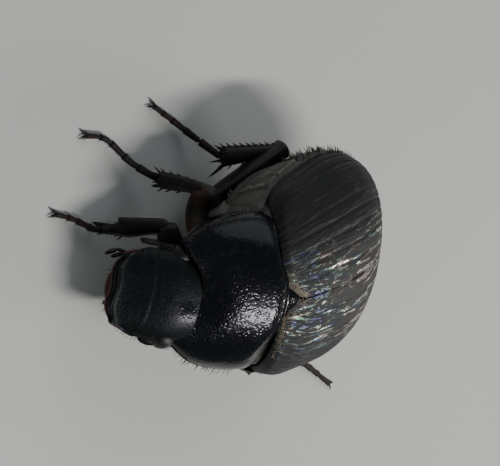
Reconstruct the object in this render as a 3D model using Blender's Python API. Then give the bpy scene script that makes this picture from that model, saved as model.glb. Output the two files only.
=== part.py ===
# A small black scarab beetle at life size, standing with one hind leg trailing.
# Sizes are in millimetres and become metres when the meshes are made.
# Its left is +X, its tail +Y and up +Z. The feet stand on the level zero.
import math

import bmesh
import bpy
import numpy as np
from mathutils import Matrix, Vector

MM = 0.001

# How the body leans on its legs: the left side lower and the head a little raised
LEAN_ROLL = 8.8
LEAN_PITCH = -5.1
LIFT = 2.055
SHIFT_X = -0.074
SHIFT_Y = -0.448

# The gap between pieces that touch
GAP = 0.08

# Wing cases: place along the body, half width, height of the margin, height of the top
WING_CASE = [
    (-0.32, 1.74, 0.09, 1.01),
    (0.27, 2.00, 0.045, 1.20),
    (1.20, 2.15, 0.00, 1.30),
    (2.20, 2.18, -0.045, 1.26),
    (3.17, 1.93, -0.09, 1.00),
    (3.90, 1.42, -0.13, 0.60),
    (4.28, 0.80, -0.15, 0.22),
    (4.40, 0.22, -0.15, -0.02),
]
CASE_FRONT = -0.38
CASE_END = 4.38
SHOULDER_BACK = 0.52
SHOULDER_REACH = 2.0
SHOULDER_POWER = 6
CASE_SQUARE = 0.88
CASE_ROUND = 0.95
CASE_RIBS = 10
RIB_HEIGHT = 0.012
RIB_FADE = 4.0
RIB_LEAST = 0.1
RIB_CENTRE_DEPTH = 0.6
CASE_STEPS = 22
CASE_CROWDING = 1.15
SUTURE_HALF = 0.035
INNER_WIDE = 0.84
INNER_LONG = 0.92
INNER_HIGH = 0.72

# The body under the wing cases
CORE_WIDE = 0.80
CORE_LONG = 0.90
CORE_HIGH = 0.64
CORE_LEAST_HALF = (0.10, 0.16)
CORE_LEAST_HIGH = 0.05
FLANK_INSET = 0.05
FLANK_TAPER = 1.08
LEDGE_STEP = 0.02
BELLY = [
    (-0.50, -0.70),
    (0.20, -1.08),
    (1.00, -1.20),
    (1.80, -1.18),
    (2.80, -1.02),
    (3.60, -0.74),
    (4.10, -0.44),
    (4.40, -0.22),
]
THORAX_SPAN = (-0.46, 1.47)
ABDOMEN_SPAN = (1.55, 3.72)
PYGIDIUM_SPAN = (3.80, 4.28)
BELLY_RINGS = 6
RING_DEPTH = 0.03
RING_SHARES = (0.30, 0.75)

# Scutellum
SCUTELLUM_HALF = 0.33
SCUTELLUM_LENGTH = 0.34
SCUTELLUM_DEPTH = 0.665
SCUTELLUM_SUNK = 0.03
SCUTELLUM_DOME = 0.05

# Pronotum: place, half width, margin, top, bottom, how far the sides reach forward
PRONOTUM = [
    (-2.115, 1.03, 0.03, 0.37, -0.55, -0.36),
    (-1.62, 1.41, 0.07, 0.72, -0.78, -0.27),
    (-1.04, 1.59, 0.11, 0.99, -0.88, -0.17),
    (-0.62, 1.63, 0.14, 1.09, -0.80, -0.11),
    (-0.37, 1.61, 0.16, 1.07, -0.62, -0.10),
]
PRONOTUM_SQUARE = 0.85
PRONOTUM_ROUND = 0.95
PRONOTUM_UNDER = 0.90
# The hind edge runs back in the middle and again at the corners
BASE_HOLLOW = 0.26
BASE_HOLLOW_PLACE = 0.66
BASE_HOLLOW_WIDE = 0.30
END_SHARE = 0.6
PRONOTUM_YAW = -10.0
PRONOTUM_PITCH = 13.8
PIVOT = (0.0, -0.315, 0.63)

# Head, along its own line from the neck: half width, margin, top, bottom, bow
HEAD = [
    (0.20, 0.72, 0.0, 0.34, -0.36, 0.0),
    (-0.10, 0.86, 0.0, 0.38, -0.42, 0.0),
    (-0.50, 0.93, 0.0, 0.38, -0.45, 0.0),
    (-0.90, 0.91, 0.0, 0.31, -0.40, 0.0),
    (-1.32, 0.82, 0.0, 0.22, -0.32, 0.03),
    (-1.62, 0.70, 0.02, 0.15, -0.22, 0.09),
    (-1.78, 0.62, 0.03, 0.14, -0.14, 0.14),
]
HEAD_SQUARE = 0.80
HEAD_ROUND = 0.88
HEAD_UNDER = 0.85
HEAD_STEPS = 11
HEAD_CROWDING = 0.80
HEAD_YAW = -6.0
HEAD_PITCH = 21.0
HEAD_ROLL = -3.5
HEAD_PLACE = (0.18, -2.06, 0.04)
CLYPEUS_START = -1.20
CLYPEUS_LIP = 0.07
CLYPEUS_NOTCH = 0.045
CLYPEUS_WAVES = 1.5
EYE_PLACE = (0.80, -0.42, -0.02)
EYE_SIZE = (0.24, 0.27, 0.24)
CANTHUS_PLACE = (0.86, -0.72, 0.02)
CANTHUS_SIZE = (0.15, 0.26, 0.06)
LABRUM_PLACE = (0.0, -1.46, -0.24)
LABRUM_SIZE = (0.36, 0.24, 0.13)
MENTUM_PLACE = (0.0, -0.95, -0.42)
MENTUM_SIZE = (0.34, 0.42, 0.16)

# Legs: where each joint stands on the level frame, the root first and the claws last
LEGS = {
    "fore_right": ((-0.66, -1.66, 1.30), (-1.55, -1.73, 1.24), (-1.55, -2.40, 0.46),
                   (-1.64, -2.86, 0.32), (-1.96, -3.37, 0.20), (-2.23, -3.96, 0.16)),
    "mid_right": ((-0.82, -0.34, 1.00), (-2.12, -0.80, 1.50), (-2.24, -1.06, 0.54),
                  (-2.71, -1.65, 0.34), (-3.30, -2.21, 0.20), (-3.58, -2.93, 0.16)),
    "hind_right": ((-1.15, 0.25, 0.84), (-2.22, 1.98, 1.38), (-2.28, 0.75, 0.73),
                   (-2.81, 0.23, 0.45), (-3.32, -0.30, 0.24), (-3.68, -0.72, 0.16)),
    "fore_left": ((0.40, -1.60, 1.08), (1.14, -0.98, 0.84), (1.40, -0.26, 0.42),
                  (1.58, 0.06, 0.30), (1.86, 0.50, 0.20), (2.10, 0.95, 0.16)),
    "mid_left": ((0.50, -0.10, 0.78), (1.62, 0.36, 0.98), (2.00, 1.22, 0.42),
                 (2.24, 1.76, 0.30), (2.48, 2.38, 0.20), (2.75, 3.00, 0.16)),
    "hind_left": ((0.70, 0.76, 0.72), (2.02, 1.74, 1.12), (2.44, 3.02, 0.60),
                  (2.90, 3.55, 0.40), (3.34, 4.22, 0.22), (3.83, 4.85, 0.16)),
}
COXA_INWARD = 0.50
COXA_FLAT = 0.9
COXA_RADIUS = {"fore": 0.30, "mid": 0.30, "hind": 0.34}
# Half width across the bend and half thickness, near the root, at the middle, at the knee
FEMUR = {
    "fore": (0.25, 0.30, 0.25, 0.25),
    "mid": (0.27, 0.33, 0.26, 0.25),
    "hind": (0.30, 0.40, 0.28, 0.25),
}
TIBIA = {
    "fore": (0.25, 0.25, 0.30, 0.25),
    "mid": (0.25, 0.25, 0.28, 0.25),
    "hind": (0.25, 0.25, 0.28, 0.25),
}
TARSUS_ROOT = 0.17
TARSUS_TIP = 0.13
TARSUS_PINCH = 0.80
TARSUS_SEGMENTS = 5
FOOT_FLAT = 0.03
CLAW_LENGTH = 0.26
CLAW_SPREAD = 0.5
CLAW_RADIUS = 0.07
CLAW_ASIDE = 0.05
SPINE_LENGTH = 0.22
SPINE_RADIUS = 0.065
SPINE_SUNK = 0.85
OUTER_SPINES = (0.35, 0.60, 0.82)
INNER_SPINES = (0.50, 0.76)
SPUR_PLACES = (-0.92, 0.94)
SPUR_SIZE = (0.34, 0.055)
# Teeth of a fore shin: share along it, length and radius at the root
FORE_TEETH = ((0.62, 0.30, 0.13), (0.93, 0.42, 0.13))
TOOTH_SUNK = 0.16
FORE_SPUR = (0.26, 0.06)
FORE_SPUR_ASIDE = 0.24
# How a limb is rounded off: share of its radius past the end, and what is left of its width
ROUNDING = ((0.7, 0.72), (1.0, 0.30))

# Feelers and mouth feelers, placed in the frame of the head
ANTENNA = {
    "right": ((-0.62, -0.44, -0.26), (-0.92, -0.46, -0.38), (-0.96, -0.66, -0.43), (-0.93, -0.90, -0.46),
              (-0.97, -1.16, -0.46)),
    "left": ((0.62, -0.46, -0.28), (0.78, -0.52, -0.44), (0.78, -0.70, -0.52), (0.74, -0.92, -0.58),
             (0.68, -1.12, -0.58)),
}
ANTENNA_WIDTHS = (0.10, 0.09, 0.09, 0.13, 0.11)
PALP = {
    "right": ((-0.40, -1.10, -0.30), (-0.60, -1.32, -0.42), (-0.68, -1.58, -0.42), (-0.58, -1.86, -0.36)),
    "left": ((0.36, -1.06, -0.30), (0.46, -1.20, -0.48), (0.46, -1.42, -0.56), (0.40, -1.62, -0.56)),
}
PALP_WIDTHS = (0.09, 0.09, 0.08, 0.07)

COLOURS = {
    "black": (0.012, 0.012, 0.014),
    "shell": (0.016, 0.015, 0.018),
    "under": (0.030, 0.026, 0.022),
    "leg": (0.030, 0.016, 0.012),
    "feeler": (0.070, 0.032, 0.018),
    "eye": (0.020, 0.018, 0.018),
}


def start_empty():
    for item in list(bpy.data.objects):
        bpy.data.objects.remove(item, do_unlink=True)


def turn(axis, degrees):
    return np.array(Matrix.Rotation(math.radians(degrees), 3, axis))


def read_curve(stations, place):
    """Read every column of the stations at a place, along smooth curves."""
    table = np.array(stations, float)
    along = table[:, 0]
    place = min(max(place, along[0]), along[-1])
    slot = min(int(np.searchsorted(along, place, side="right")) - 1, len(along) - 2)
    slot = max(slot, 0)
    slopes = np.gradient(table[:, 1:], along, axis=0)
    span = along[slot + 1] - along[slot]
    part = (place - along[slot]) / span
    low = table[slot, 1:]
    high = table[slot + 1, 1:]
    first = 2 * part**3 - 3 * part**2 + 1
    second = part**3 - 2 * part**2 + part
    third = -2 * part**3 + 3 * part**2
    fourth = part**3 - part**2
    return first * low + second * span * slopes[slot] + third * high + fourth * span * slopes[slot + 1]


def power(values, amount):
    return np.sign(values) * np.abs(values) ** amount


def to_floor(points):
    """From the body's own frame to the level frame the feet stand in."""
    lean = turn("X", LEAN_PITCH) @ turn("Y", LEAN_ROLL)
    return np.asarray(points) @ lean.T + np.array([0.0, 0.0, LIFT])


def from_pronotum(points):
    pose = turn("Z", PRONOTUM_YAW) @ turn("X", PRONOTUM_PITCH)
    pivot = np.array(PIVOT)
    return to_floor((np.asarray(points) - pivot) @ pose.T + pivot)


def from_head(points):
    pose = turn("Z", HEAD_YAW) @ turn("X", HEAD_PITCH) @ turn("Y", HEAD_ROLL)
    return from_pronotum(np.asarray(points) @ pose.T + np.array(HEAD_PLACE))


def make_object(name, points, faces):
    mesh = bpy.data.meshes.new(name)
    mesh.from_pydata([tuple(p) for p in np.asarray(points) * MM], [], faces)
    item = bpy.data.objects.new(name, mesh)
    bpy.context.scene.collection.objects.link(item)
    tidy(item)
    return item


def tidy(item):
    shape = bmesh.new()
    shape.from_mesh(item.data)
    bmesh.ops.remove_doubles(shape, verts=shape.verts, dist=0.000001)
    bmesh.ops.dissolve_degenerate(shape, edges=shape.edges, dist=0.0000005)
    bmesh.ops.recalc_face_normals(shape, faces=shape.faces)
    if shape.calc_volume(signed=True) < 0:
        bmesh.ops.reverse_faces(shape, faces=shape.faces)
    shape.to_mesh(item.data)
    shape.free()


def keep_largest(item):
    shape = bmesh.new()
    shape.from_mesh(item.data)
    left = set(shape.verts)
    groups = []
    while left:
        seed = left.pop()
        group = {seed}
        edge = [seed]
        while edge:
            corner = edge.pop()
            for line in corner.link_edges:
                other = line.other_vert(corner)
                if other in left:
                    left.remove(other)
                    group.add(other)
                    edge.append(other)
        groups.append(group)
    groups.sort(key=len, reverse=True)
    spare = [corner for group in groups[1:] for corner in group]
    bmesh.ops.delete(shape, geom=spare, context="VERTS")
    shape.to_mesh(item.data)
    shape.free()


def combine(item, others, way, solver="EXACT"):
    """Join the others on, or cut them out, and keep one closed piece."""
    for other in others:
        step = item.modifiers.new("step", "BOOLEAN")
        step.operation = way
        step.solver = solver
        step.object = other
        apply_steps(item)
        bpy.data.objects.remove(other, do_unlink=True)
    tidy(item)
    keep_largest(item)
    return item


def apply_steps(item):
    graph = bpy.context.evaluated_depsgraph_get()
    graph.update()
    fresh = bpy.data.meshes.new_from_object(item.evaluated_get(graph))
    old = item.data
    item.modifiers.clear()
    item.data = fresh
    bpy.data.meshes.remove(old)


def loft(name, rings):
    """A closed skin through rings of the same count, ended by flat caps."""
    count = len(rings[0])
    points = np.concatenate(rings)
    faces = []
    for row in range(len(rings) - 1):
        for slot in range(count):
            first = row * count + slot
            second = row * count + (slot + 1) % count
            faces.append((first, second, second + count, first + count))
    faces.append(tuple(reversed(range(count))))
    faces.append(tuple(range(len(points) - count, len(points))))
    return make_object(name, points, faces)


def sweep(name, centres, wide, thick, side, count, round_end=True):
    """A limb along a line of centres, wide in the side direction and thick across it."""
    centres = np.array(centres, float)
    wide = list(wide)
    thick = list(thick)
    lines = np.gradient(centres, axis=0)
    rings = []
    angles = np.linspace(0, 2 * math.pi, count, endpoint=False) + math.pi / count
    side = np.array(side, float)
    rows = []
    for place, line, half, deep in zip(centres, lines, wide, thick):
        rows.append((place, line / np.linalg.norm(line), half, deep))
    if round_end:
        place, line, half, deep = rows[-1]
        bulge = min(half, deep)
        for past, left in ROUNDING:
            rows.append((place + line * bulge * past, line, half * left, deep * left))
    for place, line, half, deep in rows:
        side = side - line * (side @ line)
        side = side / np.linalg.norm(side)
        across = np.cross(line, side)
        ring = [place + side * half * math.cos(a) + across * deep * math.sin(a) for a in angles]
        rings.append(np.array(ring))
    return loft(name, rings)


def cone(place, way, length, radius, sides=5):
    """A short spine that stands on a place and points a way."""
    way = np.array(way, float)
    way = way / np.linalg.norm(way)
    help_way = np.array([0.0, 0.0, 1.0]) if abs(way[2]) < 0.8 else np.array([1.0, 0.0, 0.0])
    first = np.cross(way, help_way)
    first = first / np.linalg.norm(first)
    second = np.cross(way, first)
    place = np.array(place, float)
    points = []
    for slot in range(sides):
        angle = 2 * math.pi * slot / sides
        points.append(place + (first * math.cos(angle) + second * math.sin(angle)) * radius)
    points.append(place + way * length)
    faces = [(slot, (slot + 1) % sides, sides) for slot in range(sides)]
    faces.append(tuple(reversed(range(sides))))
    return make_object("spine", points, faces)


def ball(name, place, size, rows=8, count=14, frame=None):
    rings = []
    for row in range(1, rows):
        angle = math.pi * row / rows
        turns = np.linspace(0, 2 * math.pi, count, endpoint=False)
        x = size[0] * math.sin(angle) * np.cos(turns)
        y = size[1] * math.sin(angle) * np.sin(turns)
        z = np.full(count, size[2] * math.cos(angle))
        rings.append(np.stack([x, y, z], 1) + np.array(place))
    if frame:
        rings = [frame(ring) for ring in rings]
    return loft(name, rings)


def case_row(place):
    return read_curve(WING_CASE, place)


def case_start(x):
    """Where a wing case starts along the body, at a distance from the middle."""
    reach = abs(x)
    notch = (SCUTELLUM_LENGTH + GAP) * max(0.0, 1.0 - reach / (SCUTELLUM_HALF + GAP))
    return CASE_FRONT + SHOULDER_BACK * (reach / SHOULDER_REACH) ** SHOULDER_POWER + notch


def case_point(along, angle, scale):
    """A point of the wing case dome; scale holds how wide, long and high the layer is."""
    x = WING_CASE[1][1] * power(math.cos(angle), CASE_SQUARE)
    for _ in range(4):
        start = case_start(x)
        place = start + (CASE_END - start) * along
        half, margin, top = case_row(place)
        x = half * power(math.cos(angle), CASE_SQUARE)
    z = margin + (top - margin) * math.sin(angle) ** CASE_ROUND * scale[2]
    y = start + (place - start) * scale[1]
    return np.array([x * scale[0], y, z])


def wing_case(name, sign):
    steps = CASE_STEPS
    count = CASE_RIBS * 2
    angles = [math.pi / 2 * (slot / count) for slot in range(count + 1)]
    alongs = [1 - (1 - row / steps) ** CASE_CROWDING for row in range(steps + 1)]
    outer = []
    inner = []
    for along in alongs:
        fade = min(1.0, RIB_FADE * along * (1 - along) + RIB_LEAST)
        for slot, angle in enumerate(angles):
            rib = RIB_HEIGHT * fade * (1 if slot % 2 else -1)
            point = case_point(along, angle, (1.0, 1.0, 1.0))
            away = np.array([point[0], 0.0, point[2] + RIB_CENTRE_DEPTH])
            point = point + rib * away / np.linalg.norm(away)
            under = case_point(along, angle, (INNER_WIDE, INNER_LONG, INNER_HIGH))
            if slot == 0:
                point[2] = case_row(point[1])[1]
            point[0] = max(point[0], SUTURE_HALF)
            under[0] = max(under[0], SUTURE_HALF)
            outer.append(point * np.array([sign, 1, 1]))
            inner.append(under * np.array([sign, 1, 1]))
    width = count + 1
    total = len(outer)
    faces = []
    for row in range(steps):
        for slot in range(count):
            a = row * width + slot
            faces.append((a, a + 1, a + 1 + width, a + width))
            faces.append((total + a, total + a + width, total + a + 1 + width, total + a + 1))
    for row in range(steps):
        for slot in (0, count):
            a = row * width + slot
            faces.append((a, a + width, total + a + width, total + a))
    for slot in range(count):
        for row in (0, steps):
            a = row * width + slot
            faces.append((a, a + 1, total + a + 1, total + a))
    return make_object(name, to_floor(outer + inner), faces)


def core_ring(place, grow=0.0, count=36, pinch=0.0):
    """A section of the body, with the ledge that the wing cases rest on."""
    reach = CASE_FRONT + (place - CASE_FRONT) / CORE_LONG
    half_top, margin_top, top = case_row(reach)
    half, margin, _ = case_row(place)
    belly = read_curve(BELLY, place)[0] + pinch
    up_half = max(half_top * CORE_WIDE, CORE_LEAST_HALF[0]) + grow
    low_half = max(half - FLANK_INSET - pinch, CORE_LEAST_HALF[1]) + grow
    ledge = margin - GAP + grow
    low_ledge = ledge - LEDGE_STEP
    high = max((top - margin) * CORE_HIGH, CORE_LEAST_HIGH)
    ring = []
    half_count = count // 2
    for slot in range(half_count + 1):
        angle = math.pi * slot / half_count
        x = up_half * power(math.cos(angle), CASE_SQUARE)
        z = ledge + high * abs(math.sin(angle)) ** CASE_ROUND
        ring.append((x, place, z))
    for slot in range(half_count + 1):
        angle = math.pi + math.pi * slot / half_count
        x = low_half * power(math.cos(angle), FLANK_TAPER)
        z = low_ledge + (low_ledge - belly + grow) * power(math.sin(angle), CASE_ROUND)
        ring.append((x, place, z))
    return to_floor(ring)


def core_piece(name, span, steps, grow=0.0, rings=0):
    places = np.linspace(span[0] - grow, span[1] + grow, steps + 1)
    made = []
    for place in places:
        made.append(core_ring(place, grow))
    if rings:
        made = []
        length = (span[1] - span[0]) / rings
        for slot in range(rings):
            start = span[0] + length * slot
            made.append(core_ring(start + LEDGE_STEP, grow, pinch=RING_DEPTH if slot else 0.0))
            for share in RING_SHARES:
                made.append(core_ring(start + length * share, grow))
        made.append(core_ring(span[1], grow))
    return loft(name, made)


def end_ring(ring):
    """A smaller flat ring inside a bowed one, so that the cap inside it is flat."""
    centre = ring.mean(axis=0)
    inner = centre + (ring - centre) * END_SHARE
    inner[:, 1] = centre[1]
    return inner


def pronotum_piece(name, grow=0.0, steps=12, count=36):
    first = PRONOTUM[0][0]
    last = PRONOTUM[-1][0]
    made = []
    for place in np.linspace(first, last, steps + 1):
        half, margin, top, bottom, bow = read_curve(PRONOTUM, place)
        part = (place - first) / (last - first)
        angles = np.linspace(0, 2 * math.pi, count, endpoint=False)
        c = np.cos(angles)
        s = np.sin(angles)
        x = (half + grow) * power(c, PRONOTUM_SQUARE)
        up = margin + (top + grow - margin) * power(s, PRONOTUM_ROUND)
        down = margin + (margin - bottom + grow) * power(s, PRONOTUM_UNDER)
        z = np.where(s >= 0, up, down)
        share = np.abs(x) / (half + grow)
        hollow = BASE_HOLLOW * part**4 * np.exp(-((share - BASE_HOLLOW_PLACE) / BASE_HOLLOW_WIDE) ** 2)
        y = place + bow * share**2 - hollow + grow * (2 * part - 1)
        made.append(np.stack([x, y, z], 1))
    made = [end_ring(made[0])] + made + [end_ring(made[-1])]
    return loft(name, [from_pronotum(ring) for ring in made])


def head_piece(name, grow=0.0, count=32):
    shares = [(slot / HEAD_STEPS) ** HEAD_CROWDING for slot in range(HEAD_STEPS + 1)]
    places = [HEAD[0][0] + (HEAD[-1][0] - HEAD[0][0]) * share for share in shares]
    table = sorted(HEAD)
    made = []
    for slot, place in enumerate(places):
        half, margin, top, bottom, bow = read_curve(table, place)
        front = max(0.0, (CLYPEUS_START - place) / (CLYPEUS_START - HEAD[-1][0]))
        angles = np.linspace(0, 2 * math.pi, count, endpoint=False)
        c = np.cos(angles)
        s = np.sin(angles)
        x = (half + grow) * power(c, HEAD_SQUARE)
        share = np.abs(x) / (half + grow)
        lip = CLYPEUS_LIP * front * share**6
        up = margin + (top + grow - margin) * power(s, HEAD_ROUND) + lip
        down = margin + (margin - bottom + grow) * power(s, HEAD_UNDER)
        z = np.where(s >= 0, up, down)
        notch = CLYPEUS_NOTCH * front**2 * np.cos(share * math.pi * CLYPEUS_WAVES)
        y = place + bow * share**2 + notch - grow * (1 if slot else -1)
        made.append(from_head(np.stack([x, y, z], 1)))
    return loft(name, made)


def eye_hollows():
    grown = tuple(value + GAP for value in EYE_SIZE)
    places = [(EYE_PLACE[0] * sign, EYE_PLACE[1], EYE_PLACE[2]) for sign in (-1, 1)]
    return [ball("socket", place, grown, frame=from_head) for place in places]


def bend_side(first, second, third):
    """The direction across the first limb, in the plane of the bend."""
    line = np.array(second) - np.array(first)
    line = line / np.linalg.norm(line)
    other = np.array(third) - np.array(second)
    side = other - line * (other @ line)
    return side / np.linalg.norm(side)


def coxa(key, grow=0.0):
    kind = key.split("_")[0]
    root = np.array(LEGS[key][0])
    knee = np.array(LEGS[key][1])
    line = (knee - root) / np.linalg.norm(knee - root)
    radius = COXA_RADIUS[kind] + grow
    end = root + line * grow
    start = root - line * COXA_INWARD
    side = bend_side(LEGS[key][0], LEGS[key][1], LEGS[key][2])
    centres = [start, (start + end) / 2, end]
    return sweep("coxa", centres, [radius] * 3, [radius * COXA_FLAT] * 3, side, 12, False)


def femur(key, grow=0.0):
    kind = key.split("_")[0]
    root = np.array(LEGS[key][0])
    knee = np.array(LEGS[key][1])
    near, middle, far, thick = FEMUR[kind]
    side = bend_side(LEGS[key][0], LEGS[key][1], LEGS[key][2])
    shares = [-0.05, 0.15, 0.40, 0.65, 0.85, 0.97]
    widths = [near, near * 1.04, middle, middle * 0.97, far * 1.05, far]
    centres = [root + (knee - root) * share for share in shares]
    wide = [width + grow for width in widths]
    deep = [thick + grow] * len(shares)
    return sweep("femur_" + key, centres, wide, deep, side, 12)


def tibia_frame(key):
    knee = np.array(LEGS[key][1])
    ankle = np.array(LEGS[key][2])
    line = (ankle - knee) / np.linalg.norm(ankle - knee)
    back = np.array(LEGS[key][0]) - knee
    side = back - line * (back @ line)
    side = side / np.linalg.norm(side)
    return knee, ankle, line, side


def tibia(key, grow=0.0):
    kind = key.split("_")[0]
    knee, ankle, line, side = tibia_frame(key)
    near, middle, far, thick = TIBIA[kind]
    shares = [-0.04, 0.15, 0.35, 0.60, 0.82, 1.0]
    widths = [near, near, middle, middle * 1.04, far * 0.97, far]
    centres = [knee + (ankle - knee) * share for share in shares]
    wide = [width + grow for width in widths]
    deep = [thick + grow] * len(shares)
    if grow:
        centres[-1] = ankle + line * grow
    return sweep("tibia_" + key, centres, wide, deep, side, 12, False)


def tibia_spines(key):
    """Two rows of short spines, the ring of spurs at the end and the teeth of a fore leg."""
    kind = key.split("_")[0]
    knee, ankle, line, side = tibia_frame(key)
    across = np.cross(line, side)
    near, middle, far, thick = TIBIA[kind]
    made = []
    if kind == "fore":
        for share, length, radius in FORE_TEETH:
            place = knee + (ankle - knee) * share - side * TOOTH_SUNK
            made.append(cone(place, -side + line * 0.9, length, radius))
        made.append(cone(ankle - line * 0.04 + side * FORE_SPUR_ASIDE, line + side * 0.4, *FORE_SPUR))
        return made
    for edge, shares in ((-1, OUTER_SPINES), (1, INNER_SPINES)):
        for share in shares:
            place = knee + (ankle - knee) * share + side * (edge * middle * SPINE_SUNK)
            made.append(cone(place, side * edge + line * 0.75, SPINE_LENGTH, SPINE_RADIUS))
    for amount in SPUR_PLACES:
        place = ankle - line * 0.05 + side * far * amount + across * 0.06
        made.append(cone(place, line + side * amount * 0.6, *SPUR_SIZE))
    return made


def tarsus_line(key):
    """Centres and radii along the foot, pinched between its segments."""
    joints = [np.array(p) for p in LEGS[key][2:]]
    stations = [(index, *joint) for index, joint in enumerate(joints)]
    total = TARSUS_SEGMENTS * 2
    centres = []
    radii = []
    for step in range(total + 1):
        share = step / total
        centres.append(read_curve(stations, share * (len(joints) - 1)))
        radius = TARSUS_ROOT + (TARSUS_TIP - TARSUS_ROOT) * share
        pinch = TARSUS_PINCH if step % 2 == 0 and 0 < step < total else 1.0
        radii.append(radius * pinch)
    return centres, radii


def tarsus(key):
    centres, radii = tarsus_line(key)
    name = "tarsus_" + key
    item = sweep(name, centres, radii, radii, (0.0, 0.0, 1.0), 8)
    tip = np.array(centres[-1])
    line = tip - np.array(centres[-2])
    line[2] = 0.0
    line = line / np.linalg.norm(line)
    aside = np.array([-line[1], line[0], 0.0])
    claws = []
    for sign in (-1, 1):
        root = tip + aside * sign * CLAW_ASIDE
        claws.append(cone(root, line + aside * sign * CLAW_SPREAD, CLAW_LENGTH, CLAW_RADIUS))
    combine(item, claws, "UNION")
    return item


def flatten_foot(item):
    """A small flat where the foot rests, at the level of the floor."""
    low = min(corner.co.z for corner in item.data.vertices)
    for corner in item.data.vertices:
        corner.co.z = max(corner.co.z - low, 0.0)
        if corner.co.z < FOOT_FLAT * MM:
            corner.co.z = 0.0
    tidy(item)


def feeler(name, joints, widths):
    placed = list(from_head(joints))
    stations = [(index, *p, width) for index, (p, width) in enumerate(zip(placed, widths))]
    rows = [read_curve(stations, share) for share in np.linspace(0, len(joints) - 1, 3 * len(joints) - 2)]
    centres = [row[:3] for row in rows]
    radii = [row[3] for row in rows]
    return sweep(name, centres, radii, radii, (0.0, 0.0, 1.0), 8)


def scutellum_piece():
    """A small shield between the wing cases, down to the body below."""
    y0 = CASE_FRONT
    outline = [
        (-SCUTELLUM_HALF, y0 + 0.0),
        (-SCUTELLUM_HALF * 0.86, y0 + SCUTELLUM_LENGTH * 0.14),
        (-SCUTELLUM_HALF * 0.45, y0 + SCUTELLUM_LENGTH * 0.55),
        (0.0, y0 + SCUTELLUM_LENGTH * 0.98),
        (SCUTELLUM_HALF * 0.45, y0 + SCUTELLUM_LENGTH * 0.55),
        (SCUTELLUM_HALF * 0.86, y0 + SCUTELLUM_LENGTH * 0.14),
        (SCUTELLUM_HALF, y0 + 0.0),
        (0.0, y0 - 0.04),
    ]
    top = []
    base = []
    for x, y in outline:
        half, margin, high = case_row(y)
        top.append((x, y, high - SCUTELLUM_SUNK - SCUTELLUM_DOME * (x / SCUTELLUM_HALF) ** 2))
        base.append((x, y, margin + (high - margin) * SCUTELLUM_DEPTH))
    return loft("scutellum", [to_floor(base), to_floor(top)])


def material(item, name, colour, rough):
    made = bpy.data.materials.new(name)
    made.use_nodes = True
    shader = made.node_tree.nodes["Principled BSDF"]
    shader.inputs["Base Color"].default_value = (*colour, 1.0)
    shader.inputs["Roughness"].default_value = rough
    made.diffuse_color = (*colour, 1.0)
    item.data.materials.clear()
    item.data.materials.append(made)
    for face in item.data.polygons:
        face.use_smooth = True
        face.material_index = 0


def shade(item, degrees=38.0):
    """Sharp edges stay sharp and the rest is smooth."""
    shape = bmesh.new()
    shape.from_mesh(item.data)
    for edge in shape.edges:
        if len(edge.link_faces) == 2:
            edge.smooth = edge.calc_face_angle(0.0) < math.radians(degrees)
    shape.to_mesh(item.data)
    shape.free()


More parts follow.
